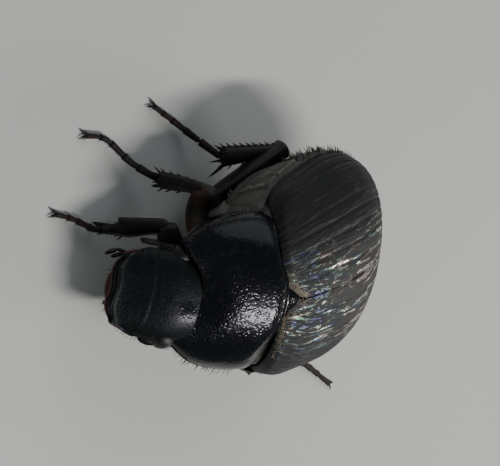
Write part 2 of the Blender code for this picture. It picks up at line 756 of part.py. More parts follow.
def build():
    start_empty()
    made = {}
    keys = list(LEGS)
    fore_keys = [key for key in keys if key.startswith("fore")]
    rear_keys = [key for key in keys if not key.startswith("fore")]

    # Head with its lip, the ridges before the eyes and sockets for the eyes
    head = head_piece("head")
    extras = [ball("labrum", LABRUM_PLACE, LABRUM_SIZE, 6, 12, from_head)]
    extras.append(ball("mentum", MENTUM_PLACE, MENTUM_SIZE, 6, 12, from_head))
    for sign in (-1, 1):
        place = (CANTHUS_PLACE[0] * sign, CANTHUS_PLACE[1], CANTHUS_PLACE[2])
        extras.append(ball("canthus", place, CANTHUS_SIZE, 6, 12, from_head))
    combine(head, extras, "UNION")
    made["head"] = combine(head, eye_hollows(), "DIFFERENCE")
    for side, sign in (("left", 1), ("right", -1)):
        place = (EYE_PLACE[0] * sign, EYE_PLACE[1], EYE_PLACE[2])
        made["eye_" + side] = ball("eye_" + side, place, EYE_SIZE, frame=from_head)

    # Pronotum with the first pair of coxae and the hollow that holds the head
    pronotum = pronotum_piece("pronotum")
    combine(pronotum, [coxa(key) for key in fore_keys], "UNION")
    made["pronotum"] = combine(pronotum, [head_piece("hollow", GAP)] + eye_hollows(), "DIFFERENCE", "MANIFOLD")

    # Thorax, abdomen and the plate at the tail
    thorax = core_piece("thorax", THORAX_SPAN, 10)
    combine(thorax, [coxa(key) for key in rear_keys], "UNION")
    made["thorax"] = combine(thorax, [pronotum_piece("hollow", GAP)], "DIFFERENCE", "MANIFOLD")
    made["abdomen"] = core_piece("abdomen", ABDOMEN_SPAN, 0, rings=BELLY_RINGS)
    made["pygidium"] = core_piece("pygidium", PYGIDIUM_SPAN, 5)

    # Wing cases and scutellum
    for side, sign in (("left", 1), ("right", -1)):
        case = wing_case("elytron_" + side, sign)
        made["elytron_" + side] = combine(case, [pronotum_piece("hollow", GAP)], "DIFFERENCE", "MANIFOLD")
    shield = scutellum_piece()
    made["scutellum"] = combine(shield, [pronotum_piece("hollow", GAP)], "DIFFERENCE", "MANIFOLD")

    # Legs, each cut back so that it meets what it grows from face to face
    for key in keys:
        thigh = femur(key)
        combine(thigh, [coxa(key, GAP), pronotum_piece("hollow", GAP)], "DIFFERENCE")
        shin = tibia(key)
        combine(shin, tibia_spines(key), "UNION")
        combine(shin, [femur(key, GAP)], "DIFFERENCE")
        if key in rear_keys:
            for piece in (thigh, shin):
                combine(piece, [core_piece("hollow", (THORAX_SPAN[0], ABDOMEN_SPAN[1]), 16, GAP)], "DIFFERENCE")
        made["femur_" + key] = thigh
        made["tibia_" + key] = shin
        foot = tarsus(key)
        combine(foot, [tibia(key, GAP)], "DIFFERENCE")
        flatten_foot(foot)
        made["tarsus_" + key] = foot

    # Feelers and mouth feelers
    for side in ("right", "left"):
        horn = feeler("antenna_" + side, ANTENNA[side], ANTENNA_WIDTHS)
        made["antenna_" + side] = combine(horn, [head_piece("hollow", GAP)], "DIFFERENCE")
        palp = feeler("palp_" + side, PALP[side], PALP_WIDTHS)
        made["palp_" + side] = combine(palp, [head_piece("hollow", GAP)], "DIFFERENCE")

    looks = {"femur": "leg", "tibia": "leg", "tarsus": "leg", "antenna": "feeler", "palp": "feeler",
             "eye": "eye", "thorax": "under", "abdomen": "under", "pygidium": "under",
             "elytron": "shell", "scutellum": "shell", "head": "black", "pronotum": "black"}
    for name, item in made.items():
        item.name = name
        item.data.name = name
        item.data.transform(Matrix.Translation(Vector((SHIFT_X * MM, SHIFT_Y * MM, 0.0))))
        look = looks[name.split("_")[0]]
        material(item, name, COLOURS[look], 0.45)
        shade(item)
    return made


build()
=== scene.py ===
# %% [markdown]
# A small black scarab beetle, about eight millimetres long, as a museum model at life size.
# The imported solids come first, as a fixed frame that says where every part is. The fine pieces
# are then made on top of them, in the same place and in metres. The box of the solids is kept.

# %% Load the frame
import math

import bpy
import numpy as np
from mathutils import Matrix, Vector


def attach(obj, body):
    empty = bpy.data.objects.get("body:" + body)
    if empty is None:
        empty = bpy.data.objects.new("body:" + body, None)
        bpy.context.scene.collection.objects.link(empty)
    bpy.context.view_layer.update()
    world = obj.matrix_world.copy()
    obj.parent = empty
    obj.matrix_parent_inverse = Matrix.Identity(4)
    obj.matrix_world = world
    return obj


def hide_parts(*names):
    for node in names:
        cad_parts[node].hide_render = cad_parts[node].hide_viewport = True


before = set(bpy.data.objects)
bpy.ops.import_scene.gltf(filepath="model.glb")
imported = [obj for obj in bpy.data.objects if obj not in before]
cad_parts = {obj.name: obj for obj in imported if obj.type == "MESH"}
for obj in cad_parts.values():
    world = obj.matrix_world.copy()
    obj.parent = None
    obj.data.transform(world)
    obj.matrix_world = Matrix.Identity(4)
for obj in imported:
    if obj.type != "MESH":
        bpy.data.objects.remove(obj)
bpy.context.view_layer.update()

MM = 0.001
BODY = "root"
print("solids loaded:", len(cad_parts))

# %% [markdown]
# The photograph looks down on the beetle from its front and right, and the picture is turned
# so that the floor's up runs to the right. The camera's three directions are written as the
# columns of its rotation. A long lens from about a hand's width away keeps the shape natural.

# %% Camera
CAMERA_RIGHT = Vector((0.043, 0.603, 0.7966)).normalized()
CAMERA_UP = Vector((-0.9583, 0.2504, -0.1378)).normalized()
CAMERA_BACK = CAMERA_RIGHT.cross(CAMERA_UP).normalized()
CAMERA_UP = CAMERA_BACK.cross(CAMERA_RIGHT).normalized()
AIM = Vector((-1.0136, -0.1461, 1.7352)) * MM
CAMERA_DISTANCE = 96.278 * MM
LENS = 344.55


def nothing_selected():
    if bpy.context.object and bpy.context.object.mode != "OBJECT":
        bpy.ops.object.mode_set(mode="OBJECT")
    bpy.ops.object.select_all(action="DESELECT")


def only(piece):
    """Select one piece and make it the active one."""
    nothing_selected()
    piece.select_set(True)
    bpy.context.view_layer.objects.active = piece
    return piece


def edit_all():
    """Go into edit mode with the whole mesh selected."""
    bpy.ops.object.mode_set(mode="EDIT")
    bpy.ops.mesh.select_all(action="SELECT")


def leave_smooth():
    """Turn all faces outwards, leave edit mode and shade the piece smooth."""
    bpy.ops.mesh.normals_make_consistent(inside=False)
    bpy.ops.object.mode_set(mode="OBJECT")
    bpy.ops.object.shade_smooth()


nothing_selected()
bpy.ops.object.camera_add()
camera = bpy.context.object
camera.name = "camera"
turned = Matrix((CAMERA_RIGHT, CAMERA_UP, CAMERA_BACK)).transposed()
camera.matrix_world = Matrix.Translation(AIM + CAMERA_BACK * CAMERA_DISTANCE) @ turned.to_4x4()
camera.data.lens = LENS
camera.data.sensor_width = 36
camera.data.clip_start = 0.001
camera.data.clip_end = 2
bpy.context.scene.camera = camera
print("camera stands", round(camera.location.length / MM), "mm from the model")

# %% [markdown]
# Materials are built from nodes. A few helpers keep them short: one adds a node and sets its
# sockets by name, another makes a new material with its shader ready. All patterns read the
# piece's own coordinates in metres, so a scale of 10,000 means spots a tenth of a millimetre wide.

# %% Helpers for materials
STREAK_WAVER = 0.45


def new_finish(name):
    finish = bpy.data.materials.new(name)
    finish.use_nodes = True
    tree = finish.node_tree
    shader = tree.nodes["Principled BSDF"]
    return finish, tree, shader


def add(tree, kind, values=(), settings=()):
    """Add a node, set its sockets by name and its settings, and return it."""
    node = tree.nodes.new(kind)
    for key, value in dict(settings).items():
        setattr(node, key, value)
    for key, value in dict(values).items():
        if isinstance(value, bpy.types.NodeSocket):
            tree.links.new(value, node.inputs[key])
        else:
            node.inputs[key].default_value = value
    return node


def place_of(tree):
    return add(tree, "ShaderNodeTexCoord").outputs["Object"]


def speckle(tree, where, scale, detail=2.0, rough=0.5, stretch=None):
    if stretch:
        where = add(tree, "ShaderNodeMapping", {"Vector": where, "Scale": stretch}).outputs["Vector"]
    values = {"Vector": where, "Scale": scale, "Detail": detail, "Roughness": rough}
    values["Distortion"] = STREAK_WAVER if stretch else 0.0
    return add(tree, "ShaderNodeTexNoise", values).outputs["Fac"]


def ramp(tree, amount, stops, smooth="LINEAR"):
    """A colour ramp: stops are pairs of a place and a colour or a grey."""
    node = add(tree, "ShaderNodeValToRGB", {"Fac": amount})
    node.color_ramp.interpolation = smooth
    while len(node.color_ramp.elements) < len(stops):
        node.color_ramp.elements.new(0.5)
    for element, (spot, colour) in zip(node.color_ramp.elements, stops):
        element.position = spot
        if not isinstance(colour, tuple):
            colour = (colour, colour, colour)
        element.color = (*colour, 1.0)
    return node.outputs["Color"]


def blend_colours(tree, amount, first, second):
    """A Mix node set to colour: its sockets 0, 6 and 7 are the amount and the two colours."""
    return add(tree, "ShaderNodeMix", {0: amount, 6: first, 7: second}, {"data_type": "RGBA"}).outputs[2]


def sums(tree, way, *values):
    """One Math node, such as ADD or MULTIPLY_ADD, fed with numbers or sockets in their order."""
    return add(tree, "ShaderNodeMath", dict(enumerate(values)), {"operation": way}).outputs[0]


def bump(tree, height, depth, under=None):
    """Light and dark of the height become low and high, depth in metres."""
    values = {"Height": height, "Strength": 1.0, "Distance": depth}
    if under:
        values["Normal"] = under
    return add(tree, "ShaderNodeBump", values).outputs["Normal"]


def put(tree, shader, **sockets):
    """Fill the shader's own sockets, each named in small letters: base_color is Base Color."""
    for key, value in sockets.items():
        socket = shader.inputs[key.replace("_", " ").title().replace("Ior", "IOR")]
        if isinstance(value, bpy.types.NodeSocket):
            tree.links.new(value, socket)
        elif isinstance(value, tuple):
            socket.default_value = (*value, 1.0) if len(value) == 3 else value
        else:
            socket.default_value = value


print("helpers for materials are ready")

# %% [markdown]
# The skin of the head and the neck shield is black, with a dark blue-green cast, and it sparkles
# where thousands of tiny pits turn the light their own way. The pits are cells of a Voronoi
# pattern that go into the bump, so they only light up near a highlight, as real ones do. Some
# cells are a little metallic in blue, violet or white, picked by a slower noise.

# %% Finish of the head and the neck shield
POLISHED_SPOT = (-0.09, -2.72, 2.09)
GLOSS_VARIES = 0.14
FLECK_COLOURS = [
    (0.30, (0.07, 0.16, 0.55)),
    (0.42, (0.16, 0.10, 0.50)),
    (0.50, (0.55, 0.50, 0.66)),
    (0.58, (0.62, 0.62, 0.62)),
    (0.66, (0.08, 0.30, 0.38)),
    (0.76, (0.42, 0.18, 0.34)),
]


def pitted_skin(name, base, tint, pit_scale, metal, rough, depth, gloss_index, polished=None):
    """Two near-black tones, flecks of a metal share, and a roughness that falls at a polished spot."""
    finish, tree, shader = new_finish(name)
    where = place_of(tree)
    slow = speckle(tree, where, 900.0, 3.0)
    colour = ramp(tree, slow, [(0.35, base), (0.65, tint)])
    grains = speckle(tree, where, 8600.0, 2.0, 0.62)
    flecks = ramp(tree, grains, [(0.56, 0.0), (0.66, 1.0)])
    hue = ramp(tree, speckle(tree, where, 4200.0, 2.0), FLECK_COLOURS)
    amount = sums(tree, "MULTIPLY", flecks, metal)
    colour = blend_colours(tree, amount, colour, hue)
    cells = add(tree, "ShaderNodeTexVoronoi", {"Vector": where, "Scale": pit_scale, "Randomness": 1.0})
    pits = ramp(tree, cells.outputs["Distance"], [(0.05, 0.0), (0.55, 1.0)], "EASE")
    grain = bump(tree, grains, depth)
    gloss = sums(tree, "MULTIPLY_ADD", slow, GLOSS_VARIES, rough - GLOSS_VARIES / 2)
    if polished:
        ends = {0: where, 1: Vector(polished) * MM}
        far = add(tree, "ShaderNodeVectorMath", ends, {"operation": "DISTANCE"}).outputs["Value"]
        far = sums(tree, "MULTIPLY", far, 1 / MM)
        near = ramp(tree, far, [(0.12, 0.22), (0.36, 0.0)], "EASE")
        gloss = sums(tree, "SUBTRACT", gloss, near)
    put(tree, shader, base_color=colour, metallic=amount, roughness=gloss, specular_tint=(0.91, 0.92, 1.0),
        normal=bump(tree, pits, depth * 0.35, grain), ior=gloss_index)
    return finish


black_skin = pitted_skin("black_skin", (0.0022, 0.0026, 0.0032), (0.0030, 0.0040, 0.0050), 15000.0, 0.012,
                         0.17, 0.0000062, 1.36)
head_skin = pitted_skin("head_skin", (0.0026, 0.0038, 0.0040), (0.0040, 0.0062, 0.0064), 13500.0, 0.010,
                        0.42, 0.0000060, 1.27, POLISHED_SPOT)
print("finishes:", black_skin.name, head_skin.name)

# %% [markdown]
# The wing cases are duller, a dark charcoal, and their fine lines break up the light like
# mother of pearl. The streaks follow the ribs, so this pattern reads the piece's own UV map:
# U runs along the body and V across the ribs. A noise squeezed thin across the ribs goes into
# the bump, so that its slopes catch the light in broken streaks. A coarser one picks their colours,
# which turn warmer towards the tail. The pearl colour and its metal share are a painted sheen:
# they are held to a band by the seam, where the highlight falls, and fade towards the margin.
# The painted sheen band is wider on the left case, which also gets other streaks than the right one.

# %% Finish of the wing cases
PEARL_COLOURS = [
    (0.30, (0.17, 0.20, 0.58)),
    (0.37, (0.30, 0.27, 0.56)),
    (0.43, (0.28, 0.48, 0.52)),
    (0.48, (0.42, 0.60, 0.40)),
    (0.53, (0.76, 0.74, 0.70)),
    (0.59, (0.68, 0.60, 0.42)),
    (0.66, (0.64, 0.45, 0.46)),
    (0.74, (0.44, 0.34, 0.38)),
]
OTHER_STREAKS = 5.3
# How much further the painted sheen band reaches across the left case than across the right one.
LEFT_PAINTED_SHEEN_WIDER = 0.1166
LEAST_SHEEN = 0.03

wing_skin, tree, shader = new_finish("wing_skin")
where = place_of(tree)
ribs = add(tree, "ShaderNodeUVMap", settings={"uv_map": "along_ribs"}).outputs["UV"]
ribs = add(tree, "ShaderNodeSeparateXYZ", {"Vector": ribs}).outputs
middle = add(tree, "ShaderNodeSeparateXYZ", {"Vector": where}).outputs["X"]
left_side = sums(tree, "GREATER_THAN", middle, 0.0)
other_streaks = sums(tree, "MULTIPLY", left_side, OTHER_STREAKS)
ribs_map = add(tree, "ShaderNodeCombineXYZ", {"X": ribs["X"], "Y": ribs["Y"], "Z": other_streaks})
ribs_map = ribs_map.outputs["Vector"]
slow = speckle(tree, where, 700.0, 3.0)
charcoal = ramp(tree, slow, [(0.35, (0.0058, 0.0057, 0.0062)), (0.65, (0.0090, 0.0087, 0.0090))])
streaks = speckle(tree, ribs_map, 1.0, 3.0, 0.60, stretch=(5.0, 30.0, 1.0))
fine_streaks = speckle(tree, ribs_map, 1.0, 2.0, 0.55, stretch=(17.0, 70.0, 1.0))
broken = sums(tree, "MULTIPLY", ramp(tree, streaks, [(0.545, 0.0), (0.60, 1.0)]),
              ramp(tree, fine_streaks, [(0.42, 0.05), (0.57, 1.0)]))
zones = sums(tree, "MULTIPLY_ADD", ribs["X"], 0.24, -0.055)
zones = sums(tree, "ADD", zones, speckle(tree, ribs_map, 1.0, 2.0, 0.6, stretch=(7.0, 16.0, 1.0)))
pearl = ramp(tree, zones, PEARL_COLOURS)
# Painted sheen: the pearl colour and its metal share are held to a band by the seam, where the highlight
# falls, and the band is wider on the left case.
across = sums(tree, "SUBTRACT", ribs["Y"], sums(tree, "MULTIPLY", left_side, LEFT_PAINTED_SHEEN_WIDER))
painted_sheen_band = ramp(tree, across, [(0.09, 0.80), (0.31, 0.03)])
crackle = speckle(tree, ribs_map, 1.0, 3.0, 0.6, stretch=(26.0, 50.0, 1.0))
crackle = ramp(tree, crackle, [(0.57, 0.0), (0.62, 1.0)])
crackle = sums(tree, "MULTIPLY", crackle, ramp(tree, ribs["X"], [(0.12, 0.75), (0.36, 0.0)]))
broken = sums(tree, "MAXIMUM", broken, crackle)
amount = sums(tree, "MULTIPLY", sums(tree, "MAXIMUM", broken, LEAST_SHEEN), painted_sheen_band)
colour = blend_colours(tree, amount, charcoal, pearl)
cells = add(tree, "ShaderNodeTexVoronoi", {"Vector": where, "Scale": 16000.0, "Randomness": 1.0})
pits = ramp(tree, cells.outputs["Distance"], [(0.05, 0.0), (0.50, 1.0)], "EASE")
grain = bump(tree, streaks, 0.000026)
polish = sums(tree, "MULTIPLY", broken, ramp(tree, across, [(0.12, 1.0), (0.36, 0.35)]))
gloss = sums(tree, "MULTIPLY_ADD", polish, -0.42, 0.60)
put(tree, shader, base_color=colour, metallic=amount, roughness=gloss,
    normal=bump(tree, pits, 0.0000030, grain), ior=1.36)
print("finish:", wing_skin.name)

# %% [markdown]
# The legs are a very dark brown that turns reddish where the wall is thin, the feelers a shade
# warmer, and the underside a dusty grey-brown. The eyes are glossy, with a net of tiny facets.
# The bristles are clear brown, paler at the scutellum. All of them vary slowly along the part.

# %% Finishes of the legs, underside, eyes and bristles


def horn_finish(name, dark, warm, rough, grain_depth=0.000005, stretch=None):
    """A horny skin between two tones, with a fine grain; a stretch draws its pattern out."""
    finish, tree, shader = new_finish(name)
    where = place_of(tree)
    slow = speckle(tree, where, 1500.0, 3.0, stretch=stretch)
    colour = ramp(tree, slow, [(0.36, dark), (0.66, warm)])
    fine = speckle(tree, where, 17000.0, 3.0, 0.6)
    gloss = sums(tree, "MULTIPLY_ADD", fine, 0.20, rough - 0.10)
    put(tree, shader, base_color=colour, roughness=gloss, normal=bump(tree, fine, grain_depth), ior=1.40)
    return finish


leg_skin = horn_finish("leg_skin", (0.0042, 0.0036, 0.0034), (0.011, 0.0058, 0.0048), 0.46)
thigh_skin = horn_finish("thigh_skin", (0.0052, 0.0042, 0.0035), (0.056, 0.0205, 0.0080), 0.46)
hind_thigh_skin = horn_finish("hind_thigh_skin", (0.0055, 0.0055, 0.0048), (0.016, 0.016, 0.013), 0.46,
                              0.000008)
foot_skin = horn_finish("foot_skin", (0.0062, 0.0046, 0.0044), (0.021, 0.0080, 0.0064), 0.68)
feeler_skin = horn_finish("feeler_skin", (0.0060, 0.0050, 0.0050), (0.018, 0.011, 0.0085), 0.42)
under_skin = horn_finish("under_skin", (0.014, 0.013, 0.012), (0.034, 0.031, 0.027), 0.50, 0.000008)
flank_skin = horn_finish("flank_skin", (0.034, 0.034, 0.0295), (0.068, 0.068, 0.057), 0.50, 0.000009,
                         stretch=(2.2, 0.6, 2.2))
edge_skin = horn_finish("edge_skin", (0.026, 0.009, 0.008), (0.13, 0.032, 0.022), 0.26)
bristle_brown = horn_finish("bristle_brown", (0.030, 0.020, 0.013), (0.080, 0.052, 0.030), 0.42, 0.000001)
bristle_dark = horn_finish("bristle_dark", (0.010, 0.008, 0.007), (0.026, 0.018, 0.013), 0.42, 0.000001)
bristle_pale = horn_finish("bristle_pale", (0.25, 0.205, 0.155), (0.44, 0.375, 0.295), 0.45, 0.000001)

eye_gloss, tree, shader = new_finish("eye_gloss")
where = place_of(tree)
cells = add(tree, "ShaderNodeTexVoronoi", {"Vector": where, "Scale": 36000.0, "Randomness": 0.25})
colour = ramp(tree, cells.outputs["Distance"], [(0.2, (0.012, 0.011, 0.012)), (0.7, (0.003, 0.003, 0.003))])
facets = ramp(tree, cells.outputs["Distance"], [(0.1, 1.0), (0.6, 0.0)])
put(tree, shader, base_color=colour, roughness=0.38, normal=bump(tree, facets, 0.000003), ior=1.45)
print("finishes for legs, underside, eyes and bristles are ready")

# %% [markdown]
# The floor is a pale matt sheet with a very slight mottling, wide enough that its edge is never
# seen. It is made as a plane and cut into squares.

# %% Floor
FLOOR_HALF = 160 * MM
nothing_selected()
bpy.ops.mesh.primitive_plane_add(size=FLOOR_HALF * 2, location=(0, 0, 0))
floor = bpy.context.object
floor.name = "floor"
bpy.ops.object.mode_set(mode="EDIT")
bpy.ops.mesh.subdivide(number_cuts=6)
bpy.ops.object.mode_set(mode="OBJECT")
pale, tree, shader = new_finish("pale_floor")
mottle = speckle(tree, place_of(tree), 60.0, 3.0)
shade = ramp(tree, mottle, [(0.3, (0.56, 0.57, 0.54)), (0.7, (0.60, 0.61, 0.58))])
put(tree, shader, base_color=shade, roughness=0.85)
floor.data.materials.append(pale)
print("floor is", round(FLOOR_HALF * 2 / MM), "mm wide")

# %% [markdown]
# A main soft light stands high on the beetle's left, where the highlight on its neck shield comes
# from. A lower one behind it brings out the streaks of the wing cases, a wide weak one fills the
# dark side, and the world adds a pale even light. At this size a few hundredths of a watt do.

# %% Lights


def soft_light(name, place, power, size, colour=(1.0, 1.0, 1.0)):
    """An area light at a place in millimetres, long along its first size, pointed at the beetle."""
    nothing_selected()
    spot = Vector(place) * MM
    bpy.ops.object.light_add(type="AREA", location=spot)
    lamp = bpy.context.object
    lamp.name = name
    back = (spot - AIM).normalized()
    along = Vector((0.22, 1, 0))
    along = (along - back * along.dot(back)).normalized()
    lamp.rotation_euler = Matrix((along, back.cross(along), back)).transposed().to_euler()
    lamp.data.energy = power
    lamp.data.shape = "RECTANGLE"
    lamp.data.size = size[0] * MM
    lamp.data.size_y = size[1] * MM
    lamp.data.color = colour
    return lamp


MAIN_WAY = Vector((0.48, 0.04, 0.87)).normalized()
BACK_WAY = Vector((0.47, 0.79, 0.40)).normalized()
soft_light("main_light", AIM / MM + MAIN_WAY * 70, 0.036, (50, 4.5), (1.0, 0.985, 0.96))
soft_light("back_light", AIM / MM + BACK_WAY * 80, 0.012, (12, 12), (1.0, 0.98, 0.95))
soft_light("fill_light", (-60, 30, 45), 0.014, (70, 70), (0.92, 0.96, 1.0))
soft_light("low_light", (58, 36, 14), 0.003, (24, 24), (1.0, 0.97, 0.96))
world = bpy.data.worlds.new("studio")
bpy.context.scene.world = world
world.use_nodes = True
world.node_tree.nodes["Background"].inputs["Color"].default_value = (0.80, 0.86, 0.92, 1.0)
world.node_tree.nodes["Background"].inputs["Strength"].default_value = 0.19

# %% [markdown]
# The solids were drawn in three frames: the body's own, that of the neck shield, which is turned
# a little, and that of the head. The same angles and sizes are named again here, in millimetres,
# so that each fine piece lands on the solid that it stands for.

# %% Frames of the body
LEAN_ROLL = 8.8
LEAN_PITCH = -5.1
LIFT = 2.055
SHIFT = np.array([-0.074, -0.448, 0.0])
SHIELD_YAW = -10.0
SHIELD_PITCH = 13.8
SHIELD_PIVOT = np.array([0.0, -0.315, 0.63])
HEAD_YAW = -6.0
HEAD_PITCH = 21.0
HEAD_ROLL = -3.5
HEAD_PLACE = np.array([0.18, -2.06, 0.04])


def turn(axis, degrees):
    return np.array(Matrix.Rotation(math.radians(degrees), 3, axis))


def to_floor(points):
    """From the body's frame to the floor, still in millimetres."""
    lean = turn("X", LEAN_PITCH) @ turn("Y", LEAN_ROLL)
    return np.asarray(points) @ lean.T + np.array([0.0, 0.0, LIFT]) + SHIFT


def from_shield(points):
    pose = turn("Z", SHIELD_YAW) @ turn("X", SHIELD_PITCH)
    return to_floor((np.asarray(points) - SHIELD_PIVOT) @ pose.T + SHIELD_PIVOT)


def from_head(points):
    pose = turn("Z", HEAD_YAW) @ turn("X", HEAD_PITCH) @ turn("Y", HEAD_ROLL)
    return from_shield(np.asarray(points) @ pose.T + HEAD_PLACE)


def read_curve(stations, places):
    """Read every column of a table of stations at many places, along smooth curves."""
    table = np.array(stations, float)
    along = table[:, 0]
    places = np.clip(np.asarray(places, float), along[0], along[-1])
    slot = np.clip(np.searchsorted(along, places, side="right") - 1, 0, len(along) - 2)
    slopes = np.gradient(table[:, 1:], along, axis=0)
    span = (along[slot + 1] - along[slot])[:, None]
    part = (places - along[slot])[:, None] / span
    first = 2 * part**3 - 3 * part**2 + 1
    second = part**3 - 2 * part**2 + part
    third = -2 * part**3 + 3 * part**2
    fourth = part**3 - part**2
    low = table[slot, 1:]
    high = table[slot + 1, 1:]
    return (first * low + second * span * slopes[slot] + third * high + fourth * span * slopes[slot + 1]).T


FULL_TURN = 2 * math.pi


def power(values, amount):
    """A power that keeps the sign, to make a round section squarer or sharper."""
    return np.sign(values) * np.abs(values) ** amount


def bell(far, wide):
    """One at no distance, falling off to nothing past a width."""
    return np.exp(-((far / wide) ** 2))


def between(first, last, share):
    return first + (last - first) * share


def circle(v):
    """The cosine and the sine of a share V of a full turn."""
    return np.cos(FULL_TURN * v), np.sin(FULL_TURN * v)


print("the tail end of the body's frame is at", np.round(to_floor([0, 4.3, 0]), 2))

# %% [markdown]
# Most parts of a beetle are curved shells. Each one starts as a flat grid, is wrapped onto its
# shape by a rule that says where each corner goes, and has its seam and poles welded. The grid
# brings its own UV map: U along the part and V round it. Relief such as ribs or pits is added
# along the surface's own normal, which is found by taking small steps in U and V.

# %% Wrap a grid onto a shape


def unit(rows):
    return rows / np.maximum(np.linalg.norm(rows, axis=-1, keepdims=True), 1e-12)


def inner_share(u, cap):
    """How far along a barrel between its rounded ends, which take up a cap of U each."""
    return np.clip((u - cap) / (1 - 2 * cap), 0, 1)


def grown_from_end(u, cap):
    """Nothing at either end, and one from a cap's length inwards."""
    return np.minimum(np.clip(u / cap, 0, 1), np.clip((1 - u) / cap, 0, 1))


def quarter_circle(grown):
    return np.sqrt(1 - (1 - grown) ** 2)


def end_cap(u, cap):
    """How far a closed barrel has grown from its end: nothing at the pole, all past the cap."""
    return quarter_circle(np.clip(u / cap, 0, 1)) * quarter_circle(np.clip((1 - u) / cap, 0, 1))


def off_ends(u, rate):
    """One along the middle, falling to nothing at both ends; a higher rate falls later."""
    return np.clip(u * rate, 0, 1) * np.clip((1 - u) * rate, 0, 1)


def centre_line(stations, u):
    """The points of a curve and the way it runs there."""
    ahead = read_curve(stations, np.clip(u + 0.01, 0, 1))
    behind = read_curve(stations, np.clip(u - 0.01, 0, 1))
    return read_curve(stations, u).T, unit(ahead.T - behind.T)


def numbered(points):
    """Points as stations of a curve, evenly spread from nought to one."""
    return [(slot / (len(points) - 1), *point) for slot, point in enumerate(points)]


def limb(centres, profile, side, cap, square=0.9):
    """A rule for a limb along centres; the profile gives its outer, inner and cross half widths."""
    stations = numbered(centres)

    def shape(u, v):
        middle, line = centre_line(stations, u)
        way = unit(side[None, :] - line * (line @ side)[:, None])
        across = np.cross(line, way)
        outer, inner, deep = read_curve(profile, u)
        c, s = circle(v)
        grown = end_cap(u, cap)
        wide = np.where(c < 0, outer, inner) * power(c, square) * grown
        deep = deep * power(s, square) * grown
        return middle + way * wide[:, None] + across * deep[:, None]
    return shape


def about(centre):
    """One centre for all points of a skin."""
    spot = np.asarray(centre)
    return lambda base: spot


def off_line(spot):
    """A centre for every point: a line through a spot along the body's length, level with the point."""
    def level_with(base):
        centre = np.repeat(spot[None, :], len(base), 0)
        centre[:, 1] = base[:, 1]
        return centre
    return level_with


def skin_and_normal(shape, u, v, centre, step):
    """Points of a skin and its normals there, all turned to the side that points off a centre."""
    base = shape(u, v)
    along = shape(np.clip(u + step, 0, 1), v) - shape(np.clip(u - step, 0, 1), v)
    across = shape(u, v + step) - shape(u, v - step)
    normal = unit(np.cross(along, across))
    away = np.sum(normal * (base - centre(base)), axis=1, keepdims=True)
    return base, normal * np.where(away < 0, -1.0, 1.0)


def raised(shape, relief, centre):
    """The same shape with relief, in millimetres, along the normal that points off a centre."""
    def place(u, v):
        base, normal = skin_and_normal(shape, u, v, centre, 0.0015)
        return base + normal * relief(u, v)[:, None]
    return place


def just_added(name):
    """The piece that was just added, under its name."""
    piece = bpy.context.object
    piece.name = name
    piece.data.name = name
    return piece


def corners_of(piece):
    """The piece's corners as rows of three numbers."""
    flat = np.empty(len(piece.data.vertices) * 3)
    piece.data.vertices.foreach_get("co", flat)
    return flat.reshape(-1, 3)


def move_corners(piece, points):
    """Put the corners at new places, which are given in millimetres."""
    piece.data.vertices.foreach_set("co", (points * MM).ravel())
    piece.data.update()


def wrap(name, rows, columns, place, finish, map_name=None):
    """A grid of rows and columns, wrapped by a rule, welded, faced outwards and given its finish."""
    nothing_selected()
    bpy.ops.mesh.primitive_grid_add(x_subdivisions=rows, y_subdivisions=columns, size=1.0)
    piece = just_added(name)
    u, v, _ = np.clip(corners_of(piece) + 0.5, 0, 1).T
    move_corners(piece, place(u, v))
    if map_name:
        piece.data.uv_layers[0].name = map_name
    edit_all()
    bpy.ops.mesh.remove_doubles(threshold=0.000001)
    leave_smooth()
    piece.data.materials.append(finish)
    return piece


def lay(piece, to_place):
    """Take a piece drawn in millimetres in one of the body's frames to its place on the floor."""
    move_corners(piece, to_place(corners_of(piece)))
    return piece


def rounded(name, place, size, to_place, finish, segments=32, rings=20, tilt=0.0):
    """A ball drawn to an ellipsoid and tipped about X in edit mode, then laid in a frame."""
    nothing_selected()
    bpy.ops.mesh.primitive_uv_sphere_add(segments=segments, ring_count=rings, radius=1.0)
    piece = just_added(name)
    edit_all()
    bpy.ops.transform.resize(value=size)
    if tilt:
        bpy.ops.transform.rotate(value=math.radians(-tilt), orient_axis="X", center_override=(0, 0, 0))
    bpy.ops.transform.translate(value=place)
    bpy.ops.object.mode_set(mode="OBJECT")
    bpy.ops.object.shade_smooth()
    piece.data.materials.append(finish)
    return lay(piece, to_place)


def drawn_ball(name, start, end, size, finish, side, to_place=np.asarray, segments=18, rings=12):
    """A drawn-out ball from a start to an end: its own Y is the way it runs, its own X the side."""
    line = unit(end - start)
    side = unit(side - line * (side @ line))
    top = np.cross(side, line)
    centre = (start + end) / 2

    def laid(points):
        return to_place(centre + points[:, :1] * side + points[:, 1:2] * line + points[:, 2:3] * top)
    return rounded(name, (0, 0, 0), size, laid, finish, segments, rings)


def joined(first, others):
    """Join other pieces to the first one, each with its own finish."""
    only(first)
    for other in others:
        other.select_set(True)
    bpy.ops.object.join()
    return first


def keep(piece, slot, *nodes):
    """Say what the piece rides on and which solids it stands for; the slot is not used."""
    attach(piece, BODY)
    if nodes:
        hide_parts(*nodes)
    tris = sum(len(face.vertices) - 2 for face in piece.data.polygons)
    print(piece.name, tris, "triangles")
    return piece


